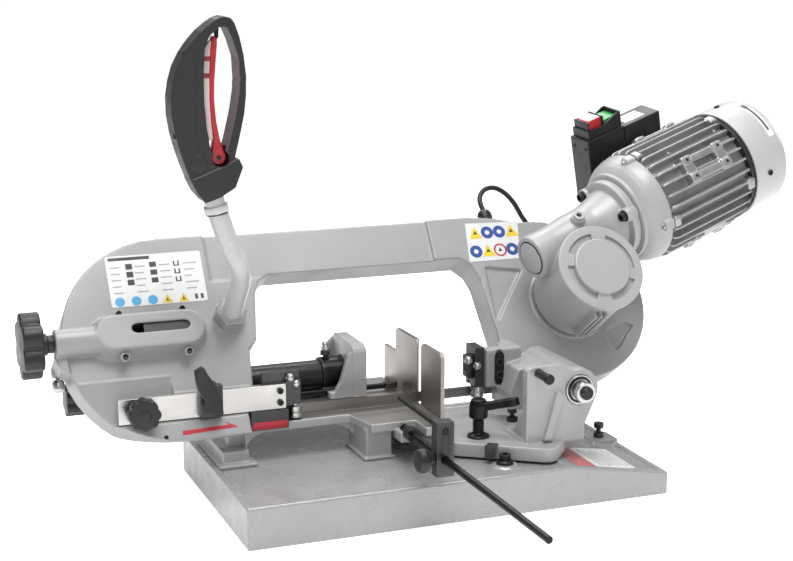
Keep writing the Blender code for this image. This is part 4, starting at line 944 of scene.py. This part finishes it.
# blade guides
piece("blade_guard_red", box(-200.5, -159.5, 147.75, 148, 83.2, 91.5, WORLD, 0.1), "red", "guide_slide")
socket_screws("bar_end_screws", [facing_front(-167, 150.4, z) for z in (125.5, 112)], 3.6, 3,
        body="guide_slide")
for side, x, lo in (("left", -146, 88.5), ("right", 81, 86.6)):
    m = at(WORLD, x, 162, 0)
    rings = lathe([(0, 89.9), (8, 89.9), (8, 94.9), (7.3, 95.3), (7.3, 95.9), (8, 96.3), (8, 103.4),
            (5.6, 103.4), (5.6, 102.9), (4.6, 102.9), (4.6, 103.4), (3.9, 103.4), (3.9, 107.5),
            (0, 107.5)], m, 64, 0.35)
    body = side + "_bearing"
    piece(body + "_rings", rings, "steel", body, side + "_guide_bearing")
    head = [(0, lo), (3.4, lo), (4, lo + 0.5), (4, 90.2), (0, 90.2)]
    piece(body + "_bolt", lathe(head, m, 40, 0.2), "socket_black", body)
for side, body, places in (("left", "guide_slide", ((-154, 158, 138.5), (-147.5, 156.5, 131.5))),
        ("right", "bow", ((66, 157.6, 137.5), (75, 151.6, 131.5)))):
    piece(side + "_guide_nuts", [acorn_nut(facing_front(*p)) for p in places], "steel", body)
piece("right_guide_tab", box(62, 84, 157.8, 160, 124, 143, WORLD, 0.6), "satin_black")
upright = axes((0, 144.9, 0), (0, 0, 1), (1, 0, 0), (0, -1, 0))
# dark stadium film: painted shade standing for the slot in the upright
piece("right_guide_slot_shade", prism(stadium(127.5, 102, 20, 6), 0, 0.6, upright, 0), "hole_shade_and_seam")
socket_screws("right_guide_screws", [facing_front(102, 144.4, z) for z in (119.5, 134.5)], 5, 3)

# clamp knob and wing lever of the guide bar
axis = along_y(WORLD, -326, 0, 119)
knob = [prism(lobed(15.8, 17.9, 8), 128.2, 143.8, axis, 2.6, 3),
        lathe([(0, 143.5), (9, 143.5), (9, 150), (0, 150)], axis, 48),
        lathe([(0, 127.2), (5, 127.3), (7.5, 128.4), (7.5, 131), (0, 131)], axis, 48, 0.3)]
stand_in("guide_knob", "moulded", knob, "black_plastic")
wing = [(-268.5, 162.5), (-260.7, 166.6), (-258.4, 165.4), (-256.2, 160.2), (-248.2, 147.5),
        (-242.8, 137), (-240.2, 126.7), (-238.3, 113), (-240, 109.8), (-244, 108.9), (-248.9, 111),
        (-253, 116.6), (-257.6, 125.8), (-265.4, 139.6), (-267.4, 148.2), (-268.8, 160)]
lever = [prism(wing, 0, 10.2, axes((0, 139.4, 0), (1, 0, 0), (0, 0, 1), (0, -1, 0)), 0.3, 1),
        cyl(9.5, 132, 139.7, along_y(WORLD, -250, 0, 124), 40),
        cyl(3.9, 139, 149.9, along_y(WORLD, -250, 0, 120), 32)]
stand_in("guide_clamp_lever", "moulded", cast(join(lever), 0.6, 8, 0.4), "black_plastic")


name_plate()
pictogram_label()


# ---- blade ----
BLADE_W, BLADE_T, PITCH = 13, 0.9, 3.2
GULLET = 1.3
HALF_TURN_STEPS = 120


def blade_stations():
    """Centre, thickness and width directions along the closed blade."""
    origin = Vector((0, BLADE_Y, BLADE_Z))
    out = []

    def put(x, s, thick, wide):
        out.append((origin + Vector((x, 0, 0)) + UP * s, thick, wide))

    run = DRIVE_X - IDLER_X
    steps = int(run / (PITCH / 2))
    for k in range(steps + 1):
        x = IDLER_X + run * k / steps
        twist = min(max((x + 268) / 118 if x < 0 else (207.2 - x) / 123.2, 0), 1)
        rot = Matrix.Rotation(-(pi / 2 - TILT) * twist, 3, 'X')
        put(x, 0, rot @ UP, rot @ OUT)

    def round_wheel(cx, a0, ks):
        for k in ks:
            a = radians(a0 + 180 * k / HALF_TURN_STEPS)
            c, s = cos(a), sin(a)
            put(cx + WHEEL_C * c, WHEEL_C + WHEEL_C * s, Vector((-c, 0, 0)) - UP * s, OUT)

    round_wheel(DRIVE_X, -90, range(1, HALF_TURN_STEPS + 1))
    steps = int(run / PITCH)
    for k in range(1, steps):
        put(DRIVE_X + (IDLER_X - DRIVE_X) * k / steps, 2 * WHEEL_C, -UP, OUT)
    round_wheel(IDLER_X, 90, range(HALF_TURN_STEPS))
    return out


def blade_strip():
    """Toothed ribbon; every second station carries a gullet cut into the lower edge."""
    bm = bmesh.new()
    rows = []
    half_t, half_w = BLADE_T / 2 * 0.92, BLADE_W / 2 - 0.1
    for k, (c, a, b) in enumerate(blade_stations()):
        low = half_w - (GULLET if k % 2 else 0)
        rows.append([bm.verts.new(c - a * half_t - b * half_w), bm.verts.new(c + a * half_t - b * half_w),
                bm.verts.new(c + a * half_t + b * low), bm.verts.new(c - a * half_t + b * low)])
    skin(bm, rows + rows[:1])
    return to_object(bm, WORLD, 30)


stand_in("blade", "toothed", blade_strip(), "blade_steel")


# ---- vise, stops and swivel ----
# vise
axis = along_x(WORLD, 0, RAM_Y, RAM_Z)
tube_profile = [(11, -228), (17.6, -228), (18.5, -227), (18.5, -60.6), (11, -60.6)]
piece("ram_tube_round", lathe(tube_profile, axis, 96, 0.3), "satin_black", "vise_jaw", "vise_ram_tube")
stud = at(WORLD, -78, RAM_Y, 0)
piece("jaw_stud_base", [cyl(3, 128.2, 135, stud, 32), prism(ngon(6.6, 6), 133.5, 139, stud, 0.5)],
      "satin_black", "vise_jaw")
piece("jaw_stud_nut", acorn_nut(at(stud, 0, 0, 138.8), 5.6, 11.4), "steel", "vise_jaw", "jaw_lock_stud")
screw = [lathe([(0, -372), (6, -372), (6, -70), (0, -70)], axis, 48, 0.4),
        prism(lobed(15.5, 18.9, 6), -391.6, -358, axis, 2.4, 3),
        lathe([(0, -360), (14, -360), (14, -346), (9, -344), (9, -342), (0, -342)], axis, 48, 0.8)]
stand_in("vise_screw", "round", screw, "black_plastic")

# length stop and mitre stops
rod = [(0, -268), (3, -268), (4, -267), (4, 74), (8, 74), (8, 87.6), (4, 87.6), (4, 110), (0, 110)]
stand_in("stop_rod", "round", lathe(rod, along_y(WORLD, STOP_X, 0, STOP_ROD_Z), 48, 0.4), "satin_black")
pin = [(0, -17), (2.4, -17), (3, -16.3), (3, 117.4), (2.4, 118), (0, 118)]
stand_in("stop_pin", "round", lathe(pin, along_y(WORLD, STOP_X, 0, STOP_PIN_Z), 40, 0.2), "satin_black")
knob = [(0, -31), (8, -30.9), (11.5, -29.6), (13.3, -26.5), (13.5, -22), (12.2, -18), (9, -16.3), (6.5, -16),
        (6.5, -11), (3, -11), (3, -6.2), (0, -6.2)]
stand_in("stop_knob", "round", lathe(knob, along_x(WORLD, STOP_X, -10.5, STOP_ROD_Z), 64, 0.8),
        "black_plastic")
socket_screws("stop_pin_screw", [facing_front(STOP_X, -17.8, STOP_PIN_Z)], 2.4, 0.9, body="length_stop")
low = at(WORLD, 62, 40, 0)
front = [(0, 26), (3.3, 26), (3.3, 46.7), (9.8, 46.7), (9.8, 49.3), (8, 50.8), (6.5, 51), (6.5, 57.8),
        (3.6, 57.8), (3.6, 54.5), (0, 54.5)]
stand_in("mitre_stop_front", "round", lathe(front, low, 56, 0.4), "satin_black")
# dark hexagon: painted shade standing for the stop's hex socket
piece("mitre_stop_front_hex", prism(ngon(3.3, 6), 54.4, 54.8, low, 0), "hole_shade_and_seam", "stand")
far = at(WORLD, 230, 132, 0)
rear = [lathe([(0, 18), (2.9, 18), (2.9, 43), (0, 43)], far, 32), prism(ngon(7, 6), 32, 37, far, 0.4),
        lathe([(0, 43), (6, 43), (6, 49), (0, 49)], far, 40)]
stand_in("mitre_stop_rear", "round", rear, "satin_black")

# hinge and mitre lever
axis = along_y(WORLD, PIVOT_X, 0, PIVOT_Z)
shaft = [(0, 26), (6, 26), (7.5, 28), (7.5, 50), (10, 50), (10, 140), (0, 140)]
stand_in("pivot_shaft", "round", lathe(shaft, axis, 64, 0.4), "dark_steel")
stand_in("pivot_bearing", "race", ring(10.6, 17, 46.6, 55.6, axis, 96, 0.5), "steel")
piece("pivot_bearing_inner", ring(8, 12.4, 45.2, 49.8, axis, 64, 0.3), "steel", "swivel")
piece("pivot_bearing_seal", ring(12.5, 15.6, 46.3, 50, axis, 96, 0.2), "satin_black", "swivel")
stand_in("pivot_nut", "hex", [prism(ngon(12.5, 6, 0.26), 31.4, 41.4, axis, 0.7),
        ring(7.8, 11.6, 30.9, 42, axis, 48, 0.3)], "steel")
pin = [(0, 18), (5.2, 18), (6, 19), (6, 24), (5, 25), (5, 47.4), (4, 47.7), (4, 58), (0, 58)]
stand_in("bracket_pin", "round", lathe(pin, along_y(WORLD, 106, 0, 145), 56, 0.4), "satin_black")
far = at(WORLD, 111, 126, 0)
bolt = [lathe([(0, 54), (3, 54), (3, 78), (0, 78)], far, 32), prism(ngon(7.2, 6), 66.9, 71.5, far, 0.4),
        prism(ngon(6.2, 6), 77, 83.6, far)]
stand_in("down_stop_bolt", "hex", bolt, "socket_black")
stand_in("mitre_lock_lever", "moulded", cast(copy_of("mitre_lock_lever"), 0.6, 6, 0.4), "satin_black")

# Film on the floor of the sloping recess: a red field beside a pale one with fine bars.
floor = at(SLOPE, 0, 0, -3.5)
for side, x0, x1, look in (("red", 19.5, 44.5, "pink"), ("pale", 44.6, 96, "white")):
    piece("slope_label_" + side, box(x0, x1, 20, 95, 0.05, 0.3, floor, 0), look, "stand")
bars = [box(53 + 5.4 * k, 54.6 + 5.4 * k, 25 + 3 * (k % 2), 88 - 4 * (k % 3), 0.3, 0.4, floor, 0)
        for k in range(8)]
piece("slope_label_bars", bars, "ink_grey", "stand")


# ---- handle and cord ----
# handle tube
base = BOW @ Vector((-208, 110, 46.4))
neck, top = Vector((-237, 148, 340)), Vector((-240, 148, 356))
bends = [(0, 0, 0), (0, -20, 22), (0, -36, 41), (-2, -45, 54), (-7, -49, 67), (-14, -49, 82)]
path = [BOW @ Vector((-208, 110, 32))] + [base + Vector(b) for b in bends] + [neck, top]
stand_in("handle_tube", "round", tube(through(path, 8), 11.3, 48), "tube_paint")
tilt = (top - neck).normalized()
side = tilt.cross(Vector((0, 1, 0))).normalized()
m = axes(Vector((-237.6, 148, 343)), side, tilt.cross(side), tilt)
piece("handle_nut", prism(ngon(15.4, 6, 0.3), -8.6, -0.6, m, 0.9), "tube_paint")
piece("handle_nut_seal", cyl(12.4, -10.4, -8.4, m, 48, 0.4), "satin_black")
piece("handle_socket_rim", ring(11, 14.2, -1, 1.6, at(BOW, -208, 110, 46), 64, 0.5), "grey_paint")

# grip
# dark boxes in the screw wells: painted shade inside those recesses
wells = [box(-32.2, -26, 161, 165, 6, 13, GRIP, 0.3), box(-44.1, -38, 73, 77.5, 6, 13, GRIP, 0.3)]
piece("grip_screw_well_shade", wells, "hole_shade_and_seam")
boss = lathe([(0, 14.4), (10, 14.4), (9.2, 15.7), (0, 16)], at(GRIP, -18.4, 44.4, 0))
piece("grip_boss", boss, "grip_rubber")
line = [(-18, 58), (-20.5, 80), (-21.5, 110), (-20, 140), (-16, 165)]
thin = [(x + 0.6, s) for x, s in line[::-1]]
piece("grip_part_line", prism(line + thin, 14.5, 15.1, GRIP, 0), "hole_shade_and_seam")
# dark shape above the trigger: painted shade in the slot where the trigger's hook enters the grip
piece("trigger_hook_slot_shade", prism([(4.5, 188.5), (9, 188.5), (8.6, 178), (6.6, 176)], -3, 6, GRIP, 0.4), "hole_shade_and_seam")

# Red strip with a pale backing, two dark collars and its pivot eye.
eye = at(GRIP, 6.2, 50, 0)
strip = [(-1.6, 55), (1, 46), (12, 46), (12.6, 55), (7.8, 70), (4.4, 90), (2.8, 112), (3.4, 131), (5.2, 150),
        (7.2, 170), (7.4, 178), (3, 179.6), (1.2, 176), (-0.4, 165), (-2.2, 140), (-2.6, 112), (-1.4, 88),
        (1, 70)]
shapes = [prism(strip, -5.4, 5.4, GRIP, 1.2), cyl(8, -5.4, 5.4, eye)]
stand_in("trigger", "moulded", cast(join(shapes), 0.45, 5, 0.5), "red_plastic")
pad = [(-4, 68), (-7.2, 86), (-8.8, 112), (-8.6, 140), (-6.8, 166), (-2.6, 173), (1.2, 175), (-0.2, 165),
       (-2, 140), (-2.4, 112), (-1.2, 88), (0.5, 70)]
piece("trigger_pad", prism(pad, -4.8, 4.8, GRIP, 0.6), "red_pale", "trigger")
piece("trigger_bands", [box(-9.1, -0.8, s, s + 5.4, -5.2, 5.2, GRIP, 0.6) for s in (135, 153)], "red_dark",
      "trigger")
piece("trigger_pin", cyl(2.4, 5.3, 6.3, eye, 40, 0.2), "socket_black", "trigger")

# Cord from the gland on the bow's top to the switch box.
route = [(150, 233.4, 2), (149, 246, 1), (153, 257, 0), (163, 265, -1), (177, 266, -3), (190, 259, -6),
        (201, 246, -10), (212, 228, -18), (226, 213, -25), (246, 206, -28), (272, 207, -25),
        (296, 214, -14)]
end = SWITCH @ Vector((142, -25.4, -90))
path = [BOW @ Vector(p) for p in route] + [end - (SWITCH.to_3x3() @ Vector((0, 12, 0))), end]
stand_in("control_cable", "round", tube(through(path, 5), 3.15, 28), "cable")
axis = along_y(BOW, 150, 0, 2)
gland = [lathe([(0, 196), (3.9, 196), (3.9, 213.8), (11, 213.8), (11, 215.4), (0, 215.4)], axis, 56),
        prism(ngon(10.6, 6), 215, 220.5, axis),
        lathe([(0, 220), (9.3, 220), (9.2, 227), (8.2, 230), (6.2, 232.6), (3.3, 233), (0, 233)], axis, 56)]
stand_in("cable_gland", "round", gland, "black_plastic")


# ---- stage, light and camera ----
def area(name, place, aim, size, power):
    lamp = bpy.data.lights.new(name, 'AREA')
    lamp.shape = 'RECTANGLE'
    lamp.size, lamp.size_y = size
    lamp.energy = power
    ob = link_object(name, lamp)
    ob.location = place
    ob.rotation_euler = (Vector(aim) - Vector(place)).to_track_quat('-Z', 'Y').to_euler()
    return ob


def studio():
    """Pale floor that glows a little, five soft lamps and an even sky."""
    mesh = bpy.data.meshes.new("studio_floor")
    r = 30
    mesh.from_pydata([(-r, -r, 0), (r, -r, 0), (r, r, 0), (-r, r, 0)], [], [(0, 1, 2, 3)])
    white = (0.95, 0.95, 0.95)
    s = Shader("studio_white", white, 0, 0.6)
    s.bsdf["Emission Color"].default_value = (1, 1, 1, 1)
    seen = s.node("LightPath").outputs["Is Camera Ray"]
    s.link(s.span(seen, 0.36, 0.72, 0, 1), s.bsdf["Emission Strength"])
    s.color(s.tones(s.noise(2, 2), white, (0.955, 0.955, 0.955)))
    mesh.materials.append(s.mat)
    lamps = [
        area("key_left", (-1.1, -1.6, 2.2), (-0.05, 0.05, 0.2), (1.2, 1.2), 10),
        area("fill_front", (0.5, -2.4, 1), (0, 0.1, 0.2), (1.6, 0.8), 2),
        area("top_soft", (-0.1, -0.3, 2.3), (0, 0.1, 0.2), (1.4, 1.2), 40),
        area("top_back", (0.2, 1.3, 1.7), (0, 0.15, 0.1), (1.8, 0.8), 20),
        area("rim_right", (1.9, 0.5, 1.2), (0.2, 0.15, 0.25), (0.7, 1.1), 6),
    ]
    link_object("studio_floor", mesh)
    world = bpy.data.worlds.new("studio_world")
    world.use_nodes = True
    tree = world.node_tree
    lit = tree.nodes["Background"]
    seen = tree.nodes.new("ShaderNodeBackground")
    for node, color, strength in ((lit, (0.96, 0.98, 1, 1), 0.34), (seen, (1, 1, 1, 1), 1)):
        node.inputs["Color"].default_value = color
        node.inputs["Strength"].default_value = strength
    mix = tree.nodes.new("ShaderNodeMixShader")
    for i, source in enumerate((tree.nodes.new("ShaderNodeLightPath").outputs["Is Camera Ray"],
            lit.outputs[0], seen.outputs[0])):
        tree.links.new(source, mix.inputs[i])
    tree.links.new(mix.outputs[0], tree.nodes["World Output"].inputs["Surface"])
    bpy.context.scene.world = world


data = bpy.data.cameras.new("camera")
data.lens, data.sensor_width = 73.74, 36
ob = link_object("camera", data)
ob.location = ORIGIN.translation + Vector((-0.6798, -1.5446, 0.6350))
ob.rotation_euler = (radians(77.79), 0, radians(-21.086))
bpy.context.scene.camera = ob


studio()
bpy.context.scene.view_settings.view_transform = 'Standard'
